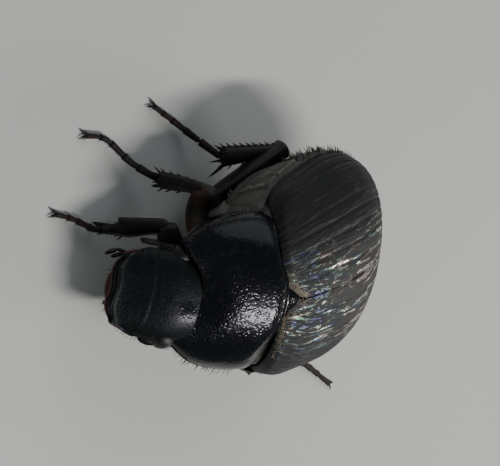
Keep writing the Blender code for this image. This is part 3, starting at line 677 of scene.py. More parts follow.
def pit_field(across, along, cell, radius, depth, seed):
    """Small round pits, one in each cell of a jittered lattice, as a height in millimetres."""
    total = np.zeros(len(across))
    col = np.floor(across / cell)
    row = np.floor(along / cell)
    for dx in (-1, 0, 1):
        for dy in (-1, 0, 1):
            cx = col + dx
            cy = row + dy
            mix = np.sin(cx * 12.9898 + cy * 78.233 + seed) * 43758.5453
            jitter_x = mix - np.floor(mix)
            mix = np.sin(cx * 39.346 + cy * 11.135 + seed * 2) * 24634.6345
            jitter_y = mix - np.floor(mix)
            px = (cx + 0.2 + 0.6 * jitter_x) * cell
            py = (cy + 0.2 + 0.6 * jitter_y) * cell
            far = np.hypot(across - px, along - py) / radius
            total = np.minimum(total, -depth * np.clip(1 - far**2, 0, 1))
    return total


print("a grid can now be wrapped")

# %% [markdown]
# The wing cases are two hard domed shells that meet in a seam down the back. Each carries ten
# fine ribs with rows of pits between them, and rolls under at its margin. A shell is one grid
# that goes over the dome from the seam to the margin and comes back underneath, thin at its
# edges, so that it is a closed wall and not a sheet of no thickness.

# %% Wing cases
WING_CASE = [
    (-0.32, 1.74, 0.09, 1.01),
    (0.27, 2.00, 0.045, 1.20),
    (1.20, 2.15, 0.00, 1.30),
    (2.20, 2.18, -0.045, 1.26),
    (3.17, 1.93, -0.09, 1.00),
    (3.90, 1.42, -0.13, 0.60),
    (4.28, 0.80, -0.15, 0.22),
    (4.40, 0.22, -0.15, -0.02),
]
CASE_FRONT = -0.38
CASE_END = 4.38
SHOULDER_BACK = 0.52
SHOULDER_REACH = 2.0
SHOULDER_POWER = 6
CASE_SQUARE = 0.88
CASE_ROUND = 0.95
CASE_RIBS = 10
SCUTELLUM_HALF = 0.33
SCUTELLUM_LENGTH = 0.34
SCUTELLUM_SUNK = 0.015
CASE_WALL = 0.11
SEAM_HALF = 0.006
OUTER_SHARE = 0.90
CLOSER_IN_FRONT = 1.12
TIMES_SETTLED = 6
FRONT_DIP = 0.13
SHOULDER_HUMP = 0.03
RIB_UP = 0.005
GROOVE_DOWN = 0.009
MARGIN_BEAD = 0.026
SEAM_BEAD = 0.008
ROWS = 250
COLUMNS = 190


def case_start(x):
    """Where a wing case starts along the body, with the notch for the scutellum."""
    reach = np.abs(x)
    notch = (SCUTELLUM_LENGTH + 0.03) * np.clip(1.0 - reach / (SCUTELLUM_HALF + 0.03), 0, 1)
    return CASE_FRONT + SHOULDER_BACK * (reach / SHOULDER_REACH) ** SHOULDER_POWER + notch


def case_dome(along, angle):
    """A point of the dome in the body's frame. Angle is zero at the margin, a right angle at the seam."""
    wide = power(np.cos(angle), CASE_SQUARE)
    x = 2.0 * wide
    for _ in range(TIMES_SETTLED):
        start = case_start(x)
        place = start + (CASE_END - start) * along
        half, margin, top = read_curve(WING_CASE, place)
        x = half * wide
    z = margin + (top - margin) * np.abs(np.sin(angle)) ** CASE_ROUND
    return np.stack([np.maximum(x, SEAM_HALF), place, z], 1)


def case_shell(sign):
    """The rule of one wing case; the sign is plus on the left side and minus on the right."""
    def surface(u, v):
        outer = v <= OUTER_SHARE
        share = np.where(outer, v / OUTER_SHARE, (1 - v) / (1 - OUTER_SHARE))
        along = 1 - (1 - u) ** CLOSER_IN_FRONT
        angle = math.pi / 2 * (1 - np.clip(share, 0, 1))
        dome = case_dome(along, angle)
        near_seam = np.clip(share * 30, 0, 1)
        near_margin = np.clip((1 - share) * 24, 0, 1)
        near_front = np.clip(along * 30, 0, 1)
        near_end = np.clip((1 - along) * 30, 0, 1)
        edge = np.minimum(np.minimum(near_seam, near_margin), np.minimum(near_front, near_end))
        wall = CASE_WALL * quarter_circle(edge)
        dip = FRONT_DIP * (1 - near_front) ** 2
        away = unit(np.stack([dome[:, 0], np.zeros(len(dome)), dome[:, 2] + 0.6], 1))
        inside = dome - away * (wall + dip)[:, None]
        groove = np.abs(np.cos(math.pi * share * CASE_RIBS)) ** 9
        fade = np.clip(along * 9, 0, 1) * near_end * np.clip((1 - share) * 12, 0, 1)
        rib = RIB_UP * (1 - groove) - GROOVE_DOWN * groove
        bead = MARGIN_BEAD * bell(1 - share, 0.018) * np.clip(along * 9, 0.3, 1)
        bead += SEAM_BEAD * bell(share, 0.02)
        pits = pit_field(share * 3.1, along * 4.5, 0.075, 0.026, 0.004, 3.0 + sign)
        hump = SHOULDER_HUMP * bell(share - 0.80, 0.10) * bell(along - 0.075, 0.055)
        lift = np.where(edge > 0.02, (rib + pits) * fade + bead + hump - dip, -dip)
        outside = dome + away * lift[:, None]
        points = np.where(outer[:, None], outside, inside)
        points[:, 0] = np.maximum(points[:, 0], SEAM_HALF) * sign
        return to_floor(points)
    return surface


for side, sign in (("left", 1), ("right", -1)):
    shell = wrap("wing_case_" + side, ROWS, COLUMNS, case_shell(sign), wing_skin, "along_ribs")
    keep(shell, "shell", "elytron_" + side)

# %% [markdown]
# The scutellum is the small three-sided plate where the wing cases meet the neck shield. It is a
# filled circle, inset and raised a few times to a low dome, with its rim extruded down. Then it is
# drawn to a rounded triangle that points back and laid on the dome of the wing cases, a little
# lower than they are, so that it fills their notch.

# %% Scutellum
nothing_selected()
bpy.ops.mesh.primitive_circle_add(vertices=24, radius=1.0, fill_type="NGON")
scutellum = just_added("scutellum_plate")
edit_all()
for inset, rise in ((0.10, 0.10), (0.16, 0.06), (0.22, 0.04), (0.24, 0.02)):
    bpy.ops.mesh.inset(thickness=inset, depth=rise)
bpy.ops.mesh.select_all(action="SELECT")
bpy.ops.mesh.region_to_loop()
bpy.ops.mesh.extrude_region_move(TRANSFORM_OT_translate={"value": (0, 0, -1.0)})
bpy.ops.mesh.edge_face_add()
bpy.ops.object.mode_set(mode="OBJECT")
corners = corners_of(scutellum)
reach = (1 - corners[:, 1]) / 2
narrow = 1 - reach**1.5 * 0.75
x = corners[:, 0] * narrow * SCUTELLUM_HALF * 1.04
place = CASE_FRONT - 0.12 + reach * (SCUTELLUM_LENGTH + 0.14)
half, margin, top = read_curve(WING_CASE, place)
dome = 0.05 * (x / SCUTELLUM_HALF) ** 2
z = top - SCUTELLUM_SUNK - dome + (corners[:, 2] - 0.22) * np.where(corners[:, 2] < 0, 0.30, 0.14)
move_corners(scutellum, to_floor(np.stack([x, place, z], 1)))
only(scutellum)
edit_all()
leave_smooth()
bpy.ops.object.modifier_add(type="SUBSURF")
scutellum.modifiers[0].levels = 2
scutellum.modifiers[0].render_levels = 2
bpy.ops.object.modifier_apply(modifier=scutellum.modifiers[0].name)
scutellum.data.materials.append(black_skin)
keep(scutellum, "plate", "scutellum")

# %% [markdown]
# The neck shield is one domed plate over the front of the chest, with a fine bead along its
# sides and a thin rolled edge in front and behind. It is a grid wrapped to a closed barrel:
# its rows run from front to back and it narrows quickly at both ends, so that the plate looks
# thick-walled, as the real one does. Fine pits cover the top.

# %% Neck shield
SHIELD = [
    (-2.115, 1.03, 0.03, 0.37, -0.55, -0.36),
    (-1.62, 1.41, 0.07, 0.72, -0.78, -0.27),
    (-1.04, 1.59, 0.11, 0.99, -0.88, -0.17),
    (-0.62, 1.63, 0.14, 1.09, -0.80, -0.11),
    (-0.37, 1.61, 0.16, 1.07, -0.62, -0.10),
]
BASE_HOLLOW = 0.26
BASE_HOLLOW_PLACE = 0.66
BASE_HOLLOW_WIDE = 0.30
SHIELD_CAP = 0.08
ROLLED_EDGE = 0.95
EDGE_BULGE = 0.06
SIDE_BEAD = 0.024
FRONT_BEAD = 0.003
BACK_BEAD = 0.008


def shield_shape(u, v):
    inner = inner_share(u, SHIELD_CAP)
    place = between(SHIELD[0][0], SHIELD[-1][0], inner)
    half, margin, top, bottom, bow = read_curve(SHIELD, place)
    grown = grown_from_end(u, SHIELD_CAP)
    rounding = ROLLED_EDGE + (1 - ROLLED_EDGE) * np.sin((grown - 0.5) * math.pi)
    shrink = np.where(grown < 0.5, grown / 0.5 * ROLLED_EDGE, rounding)
    c, s = circle(v)
    x = half * power(c, 0.92)
    up = (top - margin) * power(s, 1.04)
    down = (margin - bottom) * power(s, 0.90)
    z = np.where(s >= 0, up, down)
    share = np.abs(x) / half
    hollow = BASE_HOLLOW * inner**4 * bell(share - BASE_HOLLOW_PLACE, BASE_HOLLOW_WIDE)
    flat = np.minimum(grown / 0.5, 1)
    y = place + (bow * share**2 - hollow) * flat
    y = y + EDGE_BULGE * (1 - flat) * np.where(u < 0.5, 1, -1)
    centre_z = margin + (top - margin) * 0.15
    z = centre_z + (margin + z - centre_z) * shrink
    return from_shield(np.stack([x * shrink, y, z], 1))


def shield_relief(u, v):
    inner = inner_share(u, SHIELD_CAP)
    up = circle(v)[1]
    beads = SIDE_BEAD * bell(up, 0.055)
    beads += FRONT_BEAD * bell(inner, 0.035) + BACK_BEAD * bell(1 - inner, 0.03)
    shown = np.clip((up - 0.06) * 8, 0, 1) * off_ends(inner, 14)
    pits = pit_field(v * 7.6, inner * 1.9, 0.068, 0.024, 0.0015, 7.0)
    return beads * off_ends(u, 20) + pits * shown


shield_centre = about(from_shield([0, -1.2, 0.1]))
shield = wrap("neck_shield", ROWS * 3 // 5, COLUMNS * 9 // 5,
              raised(shield_shape, shield_relief, shield_centre), black_skin)
print("the neck shield has", len(shield.data.vertices), "corners")

# %% [markdown]
# The head is short and broad. In front it thins to the clypeus, a plate with an upturned edge
# and a shallow notch, and a fine ridge crosses it between the eyes. It is wrapped like the neck
# shield, and the edge, ridge and pits are relief.

# %% Head
HEAD = [
    (-1.78, 0.62, 0.03, 0.14, -0.14, 0.14),
    (-1.62, 0.70, 0.02, 0.15, -0.22, 0.09),
    (-1.32, 0.82, 0.0, 0.22, -0.32, 0.03),
    (-0.90, 0.91, 0.0, 0.31, -0.40, 0.0),
    (-0.50, 0.93, 0.0, 0.38, -0.45, 0.0),
    (-0.15, 0.86, 0.0, 0.38, -0.42, 0.0),
    (0.05, 0.80, 0.0, 0.36, -0.38, 0.0),
]
HEAD_CAP = 0.05
CORNERS_UP = 0.07
NOTCH = 0.045
LIP_UP = 0.060
RIM_UP = 0.040
RIDGE_UP = 0.0028
RIDGE_FOOT = 0.0035
RIDGE_BOW = 0.12
FRONT_HOLLOW = 0.012


def notch_wave(share):
    """How far the front edge swings back and forth from the middle (0) to the corner (1)."""
    return NOTCH * np.cos(share * math.pi * 1.5)


def head_shape(u, v):
    place = between(HEAD[0][0], HEAD[-1][0], inner_share(u, HEAD_CAP))
    half, margin, top, bottom, bow = read_curve(HEAD, place)
    front = np.clip((-place - 1.20) / 0.54, 0, 1)
    c, s = circle(v)
    x = half * power(c, 0.80)
    share = np.abs(x) / half
    up = (top - margin) * power(s, 0.92) + CORNERS_UP * front * share**6
    down = (margin - bottom) * power(s, 0.85)
    z = np.where(s >= 0, up, down)
    y = place + bow * share**2 + notch_wave(share) * front**2
    shrink = quarter_circle(grown_from_end(u, HEAD_CAP))
    return from_head(np.stack([x * shrink, y, margin + z * shrink], 1))


def head_relief(u, v):
    inner = inner_share(u, HEAD_CAP)
    place = between(HEAD[0][0], HEAD[-1][0], inner)
    side, up = circle(v)
    side = np.abs(side)
    bowed = place + RIDGE_BOW * side**2
    lip = LIP_UP * bell(place + 1.76, 0.055) * np.clip((up + 0.1) * 5, 0, 1)
    rim = RIM_UP * bell(up - 0.10, 0.10) * np.clip((-place - 0.95) * 5, 0, 1)
    ridge = RIDGE_UP * bell(bowed + 1.02, 0.042) - RIDGE_FOOT * bell(bowed + 0.94, 0.045)
    hollow = FRONT_HOLLOW * bell(place + 1.35, 0.20) * bell(side, 0.35)
    pits = pit_field(v * 4.6, place, 0.072, 0.028, 0.0012, 11.0) * np.clip((1 - inner) * 8, 0, 1)
    return (lip + rim + (ridge - hollow + pits) * np.clip(up * 6, 0, 1)) * off_ends(u, 1 / 0.03)


head_centre = about(from_head([0, -0.7, -0.05]))
head = wrap("head_capsule", ROWS * 2 // 3, COLUMNS * 6 // 5, raised(head_shape, head_relief, head_centre),
            head_skin)
print("the head capsule has", len(head.data.vertices), "corners")

# %% [markdown]
# A flat ridge of the head's side runs forward over each eye, and below the front edge sit the
# upper lip, the jaws and the chin plate. They are balls drawn to flat ellipsoids and joined on,
# each sunk well into the head. A thin limb along the front edge is its reddish rim. The eyes are
# separate: glossy balls set deep in the sides, so that half of each shows.

# %% Ridges, mouth and eyes
CANTHUS_PLACE = np.array([0.86, -0.72, 0.02])
JAW_PLACE = np.array([0.30, -1.36, -0.26])
CANTHUS_SIZE = (0.17, 0.27, 0.055)
RIM = [(0.0, 0.030, 0.030, 0.030), (0.5, 0.048, 0.048, 0.048), (1.0, 0.030, 0.030, 0.030)]
EYE_PLACE = np.array([0.82, -0.44, -0.01])
EYE_SIZE = (0.24, 0.27, 0.24)


def on_side(place, sign):
    return place * np.array([sign, 1, 1])


small_parts = [
    rounded("upper_lip", (0.0, -1.58, -0.18), (0.40, 0.24, 0.10), from_head, edge_skin),
    rounded("chin", (0.0, -0.98, -0.42), (0.34, 0.42, 0.15), from_head, under_skin),
    rounded("chin_front", (0.0, -1.34, -0.40), (0.20, 0.16, 0.10), from_head, under_skin),
]
for sign in (-1, 1):
    place = on_side(CANTHUS_PLACE, sign)
    small_parts.append(rounded("canthus", place, CANTHUS_SIZE, from_head, head_skin, tilt=6))
    small_parts.append(rounded("jaw", on_side(JAW_PLACE, sign), (0.17, 0.24, 0.09), from_head, edge_skin))
edge = [(-0.81, -1.30, -0.02), (-0.71, -1.60, 0.0)]
for share in np.linspace(-1, 1, 15):
    edge.append((0.63 * share, -1.80 + 0.15 * share**2 + notch_wave(share), 0.01))
edge += [(0.71, -1.60, 0.0), (0.81, -1.30, -0.02)]
head_up = from_head([0, 0, 1]) - from_head([0, 0, 0])
rim_path = limb([from_head(spot) for spot in edge], RIM, head_up, 0.03)
small_parts.append(wrap("front_rim", 140, 14, rim_path, edge_skin))
joined(head, small_parts)
keep(head, "plate", "head")
for side, sign in (("left", 1), ("right", -1)):
    place = on_side(EYE_PLACE, sign)
    eye = rounded("eye_" + side + "_globe", place, EYE_SIZE, from_head, eye_gloss, 64, 40)
    keep(eye, "eye", "eye_" + side)

# %% [markdown]
# Under the wing cases lies the body itself: the chest, a belly of overlapping rings and a last
# plate at the tail. All three are lengths of the same barrel, which is fullest at the chest.
# The side plates of the chest, with the pale ridge that runs below the wing case, and the rings
# of the belly are relief.

# %% Chest, belly and tail plate
BELLY = [(-1.00, -0.66), (-0.50, -0.84), (0.20, -1.08), (1.00, -1.20), (1.80, -1.18), (2.80, -1.02),
         (3.60, -0.74), (4.10, -0.44), (4.40, -0.22)]
CHEST_SPAN = (-1.05, 1.52)
BELLY_SPAN = (1.50, 3.80)
TAIL_SPAN = (3.76, 4.34)
BELLY_RINGS = 6
SIDE_FULL = 0.78
CHEST_FULLER = 0.42
CORE_LONG = 0.90
CHEST_SWELL = 0.06
BELLY_SWELL = 0.03
BARREL_CAP = 0.06
BARREL_CENTRE = -0.25
SIDE_RIDGES = [((-0.02, -0.56), (0.24, -0.08), 0.050, 0.045), ((0.24, -0.08), (0.66, -0.10), 0.050, 0.040),
               ((0.66, -0.10), (1.40, -0.20), 0.045, 0.040)]
SIDE_GROOVES = [((0.28, -0.45), (0.72, -0.28), 0.060, 0.065), ((0.88, -0.36), (1.36, -0.32), 0.060, 0.055),
                ((-0.70, -0.72), (1.40, -0.66), 0.030, 0.050)]
MIDDLE_SEAM = 0.04
RING_STEP = 0.045
RING_SEAM = 0.030


def barrel_ring(place, v, swell=0.0):
    """The side and the level of the body's skin: V is 0.25 on the back and 0.75 under the belly."""
    reach = CASE_FRONT + (place - CASE_FRONT) / CORE_LONG
    half_top, _, top = read_curve(WING_CASE, reach)
    half, margin, _ = read_curve(WING_CASE, place)
    belly = read_curve(BELLY, place)[0]
    c, s = circle(v)
    up_half = np.maximum(half_top * 0.91, 0.10)
    low_half = np.maximum(half - 0.05 + swell, 0.16)
    ledge = margin - 0.02
    high = np.maximum((top - margin) * 0.72, 0.05)
    full = SIDE_FULL - CHEST_FULLER * np.exp(-(((place - 0.30) / 1.30) ** 4))
    tuck = 1 - 0.20 * np.clip((-0.25 - place) / 0.6, 0, 1) * c**2
    x = np.where(s >= 0, up_half * power(c, CASE_SQUARE) * tuck, low_half * power(c, full) * tuck)
    above = high * np.abs(s) ** CASE_ROUND
    below = (ledge - belly) * np.abs(s) ** 0.95
    return x, np.where(s >= 0, ledge + above, ledge - below)


def barrel(span, swell=0.0, cap=BARREL_CAP):
    """The rule of one length of the body, closed and rounded at both ends."""
    def shape(u, v):
        place = between(*span, inner_share(u, cap))
        x, z = barrel_ring(place, v, swell)
        shrink = quarter_circle(grown_from_end(u, cap))
        return to_floor(np.stack([x * shrink, place, BARREL_CENTRE + (z - BARREL_CENTRE) * shrink], 1))
    return shape


def line_in(place, level, first, last, wide):
    """How near a point of the side is to a drawn line: one on it, falling off to nothing."""
    first = np.array(first)
    last = np.array(last)
    way = last - first
    share = np.clip(((place - first[0]) * way[0] + (level - first[1]) * way[1]) / (way @ way), 0, 1)
    far = np.hypot(place - first[0] - way[0] * share, level - first[1] - way[1] * share)
    return bell(far, wide)


def chest_relief(u, v):
    place = between(*CHEST_SPAN, inner_share(u, BARREL_CAP))
    x, level = barrel_ring(place, v)
    low = circle(v)[1] < 0
    total = np.zeros(len(u))
    for first, last, height, wide in SIDE_RIDGES:
        total += height * line_in(place, level, first, last, wide)
    for first, last, depth, wide in SIDE_GROOVES:
        total -= depth * line_in(place, level, first, last, wide)
    total -= MIDDLE_SEAM * bell(x, 0.04)
    total += pit_field(v * 7.4, place, 0.080, 0.030, 0.003, 5.0)
    total += 0.002 * np.sin(place * 55 + 9 * level) * np.clip(-level * 2, 0, 1)
    return total * low * off_ends(u, 12)


def belly_relief(u, v):
    inner = inner_share(u, BARREL_CAP)
    ring = inner * BELLY_RINGS
    part = ring - np.floor(ring)
    low = np.clip(-circle(v)[1] * 8, 0, 1)
    step = RING_STEP * part**2 - RING_SEAM * bell(part, 0.07)
    dots = pit_field(v * 7.4, inner * 2.2, 0.085, 0.030, 0.008, 6.0)
    return (step + dots) * low * off_ends(u, 12)


def tail_relief(u, v):
    return pit_field(v * 3.4, u * 0.6, 0.065, 0.026, 0.008, 8.0) * off_ends(u, 9)


spine = off_line(to_floor([0.0, 1.8, -0.3]))
chest_shape = barrel(CHEST_SPAN, CHEST_SWELL)
belly_shape = barrel(BELLY_SPAN, BELLY_SWELL)
tail_shape = barrel(TAIL_SPAN, cap=0.10)
chest = wrap("chest", ROWS * 3 // 5, COLUMNS * 3 // 2, raised(chest_shape, chest_relief, spine), flank_skin)
belly = wrap("belly", ROWS * 3 // 5, COLUMNS * 3 // 2, raised(belly_shape, belly_relief, spine), under_skin)
tail = wrap("tail_plate", ROWS // 4, COLUMNS, raised(tail_shape, tail_relief, spine), under_skin)
keep(belly, "underside", "abdomen")
keep(tail, "underside", "pygidium")

# %% [markdown]
# Each feeler has a thick first joint, a string of small beads and a club of three thin leaves
# that lie together. The beads and the leaves are drawn-out balls set along a curve in the head's
# frame. The mouth feelers are two strings of three short spindles on each side.

# %% Feelers and mouth feelers
FEELER = {
    "right": ((-0.62, -0.44, -0.26), (-0.90, -0.46, -0.38), (-0.95, -0.66, -0.43), (-0.92, -0.88, -0.46),
              (-0.96, -1.14, -0.46)),
    "left": ((0.62, -0.46, -0.28), (0.78, -0.52, -0.44), (0.78, -0.68, -0.52), (0.75, -0.86, -0.57),
             (0.71, -1.03, -0.58)),
}
PALP = {
    "right": (((-0.40, -1.10, -0.32), (-0.66, -1.40, -0.42), (-0.70, -1.62, -0.41), (-0.58, -1.88, -0.36)),
              ((-0.26, -1.12, -0.38), (-0.56, -1.30, -0.44), (-0.61, -1.49, -0.46), (-0.53, -1.70, -0.44))),
    "left": (((0.34, -1.06, -0.32), (0.46, -1.20, -0.48), (0.46, -1.40, -0.56), (0.40, -1.60, -0.56)),
             ((0.14, -1.20, -0.44), (0.20, -1.32, -0.54), (0.20, -1.44, -0.58), (0.16, -1.58, -0.58))),
}
BEADS = 6
BEAD_LONG = 0.045
PALP_WIDE = (0.036, 0.044, 0.048)


def along_line(points):
    """A smooth curve through points, read at a share of it."""
    stations = numbered(points)
    return lambda share: read_curve(stations, np.atleast_1d(share)).T


def feeler_joint(name, low, high, wide, share):
    """One round joint of a feeler, in the head's frame; its half length is a share of its span."""
    size = (wide, np.linalg.norm(high - low) * share, wide)
    return drawn_ball(name, low, high, size, feeler_skin, np.cross(high - low, [0.0, 0.0, 1.0]), from_head)


for side in ("right", "left"):
    curve = along_line(FEELER[side])
    first, knee = curve(0.0)[0], curve(0.25)[0]
    parts = [feeler_joint("feeler_" + side, first, knee, 0.062, 0.56)]
    for bead in range(BEADS):
        low = curve(0.25 + BEAD_LONG * bead)[0]
        high = curve(0.25 + BEAD_LONG * (bead + 1))[0]
        parts.append(feeler_joint("bead", low, high, 0.044 + 0.004 * bead, 0.66))
    low, high = curve(0.50)[0], curve(1.0)[0]
    for leaf in (-1, 0, 1):
        shift = np.array([0.030 * leaf, 0.0, 0.026 * leaf])
        size = (0.036, np.linalg.norm(high - low) * (0.54 - 0.03 * abs(leaf)), 0.062)
        start, end = low + shift * 0.6, high + shift
        across = np.cross(end - start, [0.0, 0.0, 1.0])
        parts.append(drawn_ball("leaf", start, end, size, feeler_skin, across, from_head, 24, 16))
    keep(joined(parts[0], parts[1:]), "feeler", "antenna_" + side)
    parts = []
    for path in PALP[side]:
        path = np.array(path)
        for low, high, wide in zip(path, path[1:], PALP_WIDE):
            parts.append(feeler_joint("mouth_feeler_" + side, low, high, wide, 0.56))
    keep(joined(parts[0], parts[1:]), "feeler", "palp_" + side)

# %% [markdown]
# Spines, spurs and bristles are all one shape: a thin spike that leans forward a little. It is
# modelled once, by hand: a small ring is extruded upwards a few times, drawn in each time, and
# closed to a point. Its copies are then stamped side by side into one mesh, each turned to its
# own direction, because an operator for every single one would take minutes.

# %% One spike and its copies


def spike_model(sides, rings, lean):
    """The corners and faces of one spike of length one and radius one, leaning along its own X."""
    nothing_selected()
    bpy.ops.mesh.primitive_circle_add(vertices=sides, radius=1.0, fill_type="NGON", location=(0, 0, 0))
    model = bpy.context.object
    edit_all()
    for ring in range(rings):
        step = lean * (ring + 0.5) / rings
        bpy.ops.mesh.extrude_region_move(TRANSFORM_OT_translate={"value": (step, 0, 1.0 / rings)})
        share = math.sqrt(1 - (ring + 1) / rings) / math.sqrt(1 - ring / rings)
        if ring < rings - 1:
            bpy.ops.transform.resize(value=(share, share, 1))
    bpy.ops.mesh.merge(type="CENTER")
    bpy.ops.mesh.select_all(action="SELECT")
    leave_smooth()
    corners = corners_of(model)
    faces = [tuple(face.vertices) for face in model.data.polygons]
    bpy.data.objects.remove(model, do_unlink=True)
    return corners, faces


UPWARDS = np.array([0.0, 0.0, 1.0])
PATCH_HALF = 0.0015


def stamp(name, model, placements, finish, spots=None):
    """One mesh of many spikes. A placement is a root, a way, a length and a radius, in millimetres."""
    corners, faces = model
    points = []
    all_faces = []
    for root, way, length, radius in placements:
        way = unit(np.asarray(way, float))
        lean = way * (UPWARDS @ way) - UPWARDS
        if np.linalg.norm(lean) < 0.05:
            lean = np.array([1.0, 0.0, 0.0]) - way * way[0]
        lean = unit(lean)
        across = np.cross(way, lean)
        base = len(points) * len(corners)
        shape = (lean * corners[:, :1] + across * corners[:, 1:2]) * radius + way * corners[:, 2:3] * length
        points.append(np.asarray(root) + shape)
        all_faces += [tuple(base + slot for slot in face) for face in faces]
    mesh = bpy.data.meshes.new(name)
    mesh.from_pydata([tuple(point) for point in np.concatenate(points) * MM], [], all_faces)
    piece = bpy.data.objects.new(name, mesh)
    bpy.context.scene.collection.objects.link(piece)
    mesh.materials.append(finish)
    for face in mesh.polygons:
        face.use_smooth = True
    if spots is not None:
        bake_map = mesh.uv_layers.new(name="OFBake")
        per = len(corners)
        patch = np.clip(corners[:, :2] / 4.0, -1, 1) * PATCH_HALF
        corner_of = np.empty(len(mesh.loops), int)
        mesh.loops.foreach_get("vertex_index", corner_of)
        places = np.asarray(spots, float)[corner_of // per] + patch[corner_of % per]
        bake_map.data.foreach_set("uv", places.ravel())
    return piece


thick_spike = spike_model(6, 4, 1.0)
hair_spike = spike_model(3, 4, 3.0)
print("a spine has", len(thick_spike[1]), "faces and a hair", len(hair_spike[1]))

# %% [markdown]
# The joints of each leg are the same points that the solids use, from the root to the claws.
# The real shins and feet are thinner than the solids can safely be, so the thin feet are laid
# lower, down to the floor, and slid along the line of sight, so that they stay in the same
# place in the picture.

# %% Joints of the legs
LEGS = {
    "fore_right": ((-0.66, -1.66, 1.30), (-1.55, -1.73, 1.24), (-1.55, -2.40, 0.46),
                   (-1.64, -2.86, 0.32), (-1.96, -3.37, 0.20), (-2.23, -3.96, 0.16)),
    "mid_right": ((-0.82, -0.34, 1.00), (-2.12, -0.80, 1.50), (-2.24, -1.06, 0.54),
                  (-2.71, -1.65, 0.34), (-3.30, -2.21, 0.20), (-3.58, -2.93, 0.16)),
    "hind_right": ((-1.15, 0.25, 0.84), (-2.22, 1.98, 1.38), (-2.28, 0.75, 0.73),
                   (-2.81, 0.23, 0.45), (-3.32, -0.30, 0.24), (-3.68, -0.72, 0.16)),
    "fore_left": ((0.40, -1.60, 1.08), (1.14, -0.98, 0.84), (1.40, -0.26, 0.42),
                  (1.58, 0.06, 0.30), (1.86, 0.50, 0.20), (2.10, 0.95, 0.16)),
    "mid_left": ((0.50, -0.10, 0.78), (1.62, 0.36, 0.98), (2.00, 1.22, 0.42),
                 (2.24, 1.76, 0.30), (2.48, 2.38, 0.20), (2.75, 3.00, 0.16)),
    "hind_left": ((0.70, 0.76, 0.72), (2.02, 1.74, 1.12), (2.44, 3.02, 0.60),
                  (2.90, 3.55, 0.40), (3.34, 4.22, 0.22), (3.83, 4.85, 0.16)),
}
FOOT_LEVELS = (None, None, None, 0.26, 0.13, 0.075)
SIGHT = np.array(CAMERA_BACK)
CLAW_BACK = {"fore_right": 0.10, "mid_right": 0.13, "hind_right": 0.10}
JOINT_SHIFT = {("hind_right", 0): (-0.24, -0.06, -0.19), ("hind_right", 1): (-0.03, 0.01, 0.0)}


def kind_of(key):
    return key.split("_")[0]


def joints_of(key):
    """Hip, knee, ankle and three places of the foot, in millimetres on the floor."""
    joints = []
    for slot, (point, level) in enumerate(zip(LEGS[key], FOOT_LEVELS)):
        point = np.array(point) + SHIFT + np.array(JOINT_SHIFT.get((key, slot), (0, 0, 0)))
        if level is not None:
            point = point + SIGHT * (level - point[2]) / SIGHT[2]
        joints.append(point)
    last = unit(joints[-1] - joints[-2])
    joints[-1] = joints[-1] - last * CLAW_BACK.get(key, 0.0)
    return joints


def limb_frame(start, end, side):
    """The way a limb runs, its side made square to it, and the way across both."""
    line = unit(end - start)
    side = unit(side - line * (side @ line))
    return line, side, np.cross(line, side)


print("legs:", list(LEGS))

# %% [markdown]
# Each leg turns in a hip, a short thick cone set into the underside, with a small ring between it
# and the thigh. The hips belong to the chest and, in front, to the neck shield. They are drawn-out
# balls, sunk well in. One more flat ball is a side plate of the chest, ahead of the right middle leg.

# %% Hips
HIP_SIZE = {"fore": (0.28, 0.36, 0.25), "mid": (0.28, 0.36, 0.25), "hind": (0.32, 0.42, 0.25)}
RING_SIZE = (0.18, 0.14, 0.14)


def hip(key):
    """The hip and its ring, from inside the body to the root of the thigh."""
    thigh_root, knee, ankle = joints_of(key)[:3]
    root = np.array(LEGS[key][0]) + SHIFT
    bend = ankle - knee
    inward = unit((to_floor([0.0, 0.0, -0.35]) - root) * np.array([1, 0, 1]))
    cone = drawn_ball("hip_" + key, root + inward * 0.50, root - inward * 0.06, HIP_SIZE[kind_of(key)],
                      under_skin, bend, segments=28, rings=18)
    line = unit(knee - thigh_root)
    ring = drawn_ball("ring_" + key, thigh_root - line * 0.10, thigh_root + line * 0.14, RING_SIZE,
                      leg_skin, bend, segments=28, rings=18)
    return [cone, ring]


hips = {"fore": [], "rear": []}
for key in LEGS:
    hips["fore" if key.startswith("fore") else "rear"] += hip(key)
hips["rear"].append(rounded("hip_plate", (-1.50, -0.52, -0.66), (0.15, 0.36, 0.21), to_floor, flank_skin))
joined(chest, hips["rear"])
keep(chest, "underside", "thorax")
joined(shield, hips["fore"])
keep(shield, "plate", "pronotum")

# %% [markdown]
# A thigh is a flattened spindle, widest past its middle. It starts deep inside its hip and ends
# in a squarish knee that overlaps the shin. The hind one is seen nearly edge on, so its flat
# side lies along the line of sight. Each is a wrapped grid, boxy in section.

# %% Thighs
THIGH = {
    "fore": [(0.0, 0.16, 0.16, 0.15), (0.3, 0.24, 0.23, 0.20), (0.6, 0.27, 0.25, 0.21),
             (1.0, 0.19, 0.18, 0.17)],
    "mid": [(0.0, 0.22, 0.22, 0.18), (0.3, 0.34, 0.33, 0.25), (0.6, 0.38, 0.36, 0.26),
            (1.0, 0.22, 0.21, 0.18)],
    "hind": [(0.0, 0.24, 0.24, 0.14), (0.3, 0.34, 0.33, 0.205), (0.6, 0.36, 0.34, 0.215),
             (1.0, 0.25, 0.23, 0.205)],
}
THIGH_CAP = {"fore": 0.08, "mid": 0.08, "hind": 0.022}
THIGH_SQUARE = {"fore": 0.9, "mid": 0.85, "hind": 1.25}
THIGH_SKIN = {"fore": leg_skin, "mid": thigh_skin, "hind": hind_thigh_skin}


def leg_side(key):
    """The way across the thigh, in the plane of the bent knee."""
    if key == "hind_right":
        return SIGHT
    root, knee, ankle = joints_of(key)[:3]
    return limb_frame(root, knee, ankle - knee)[1]


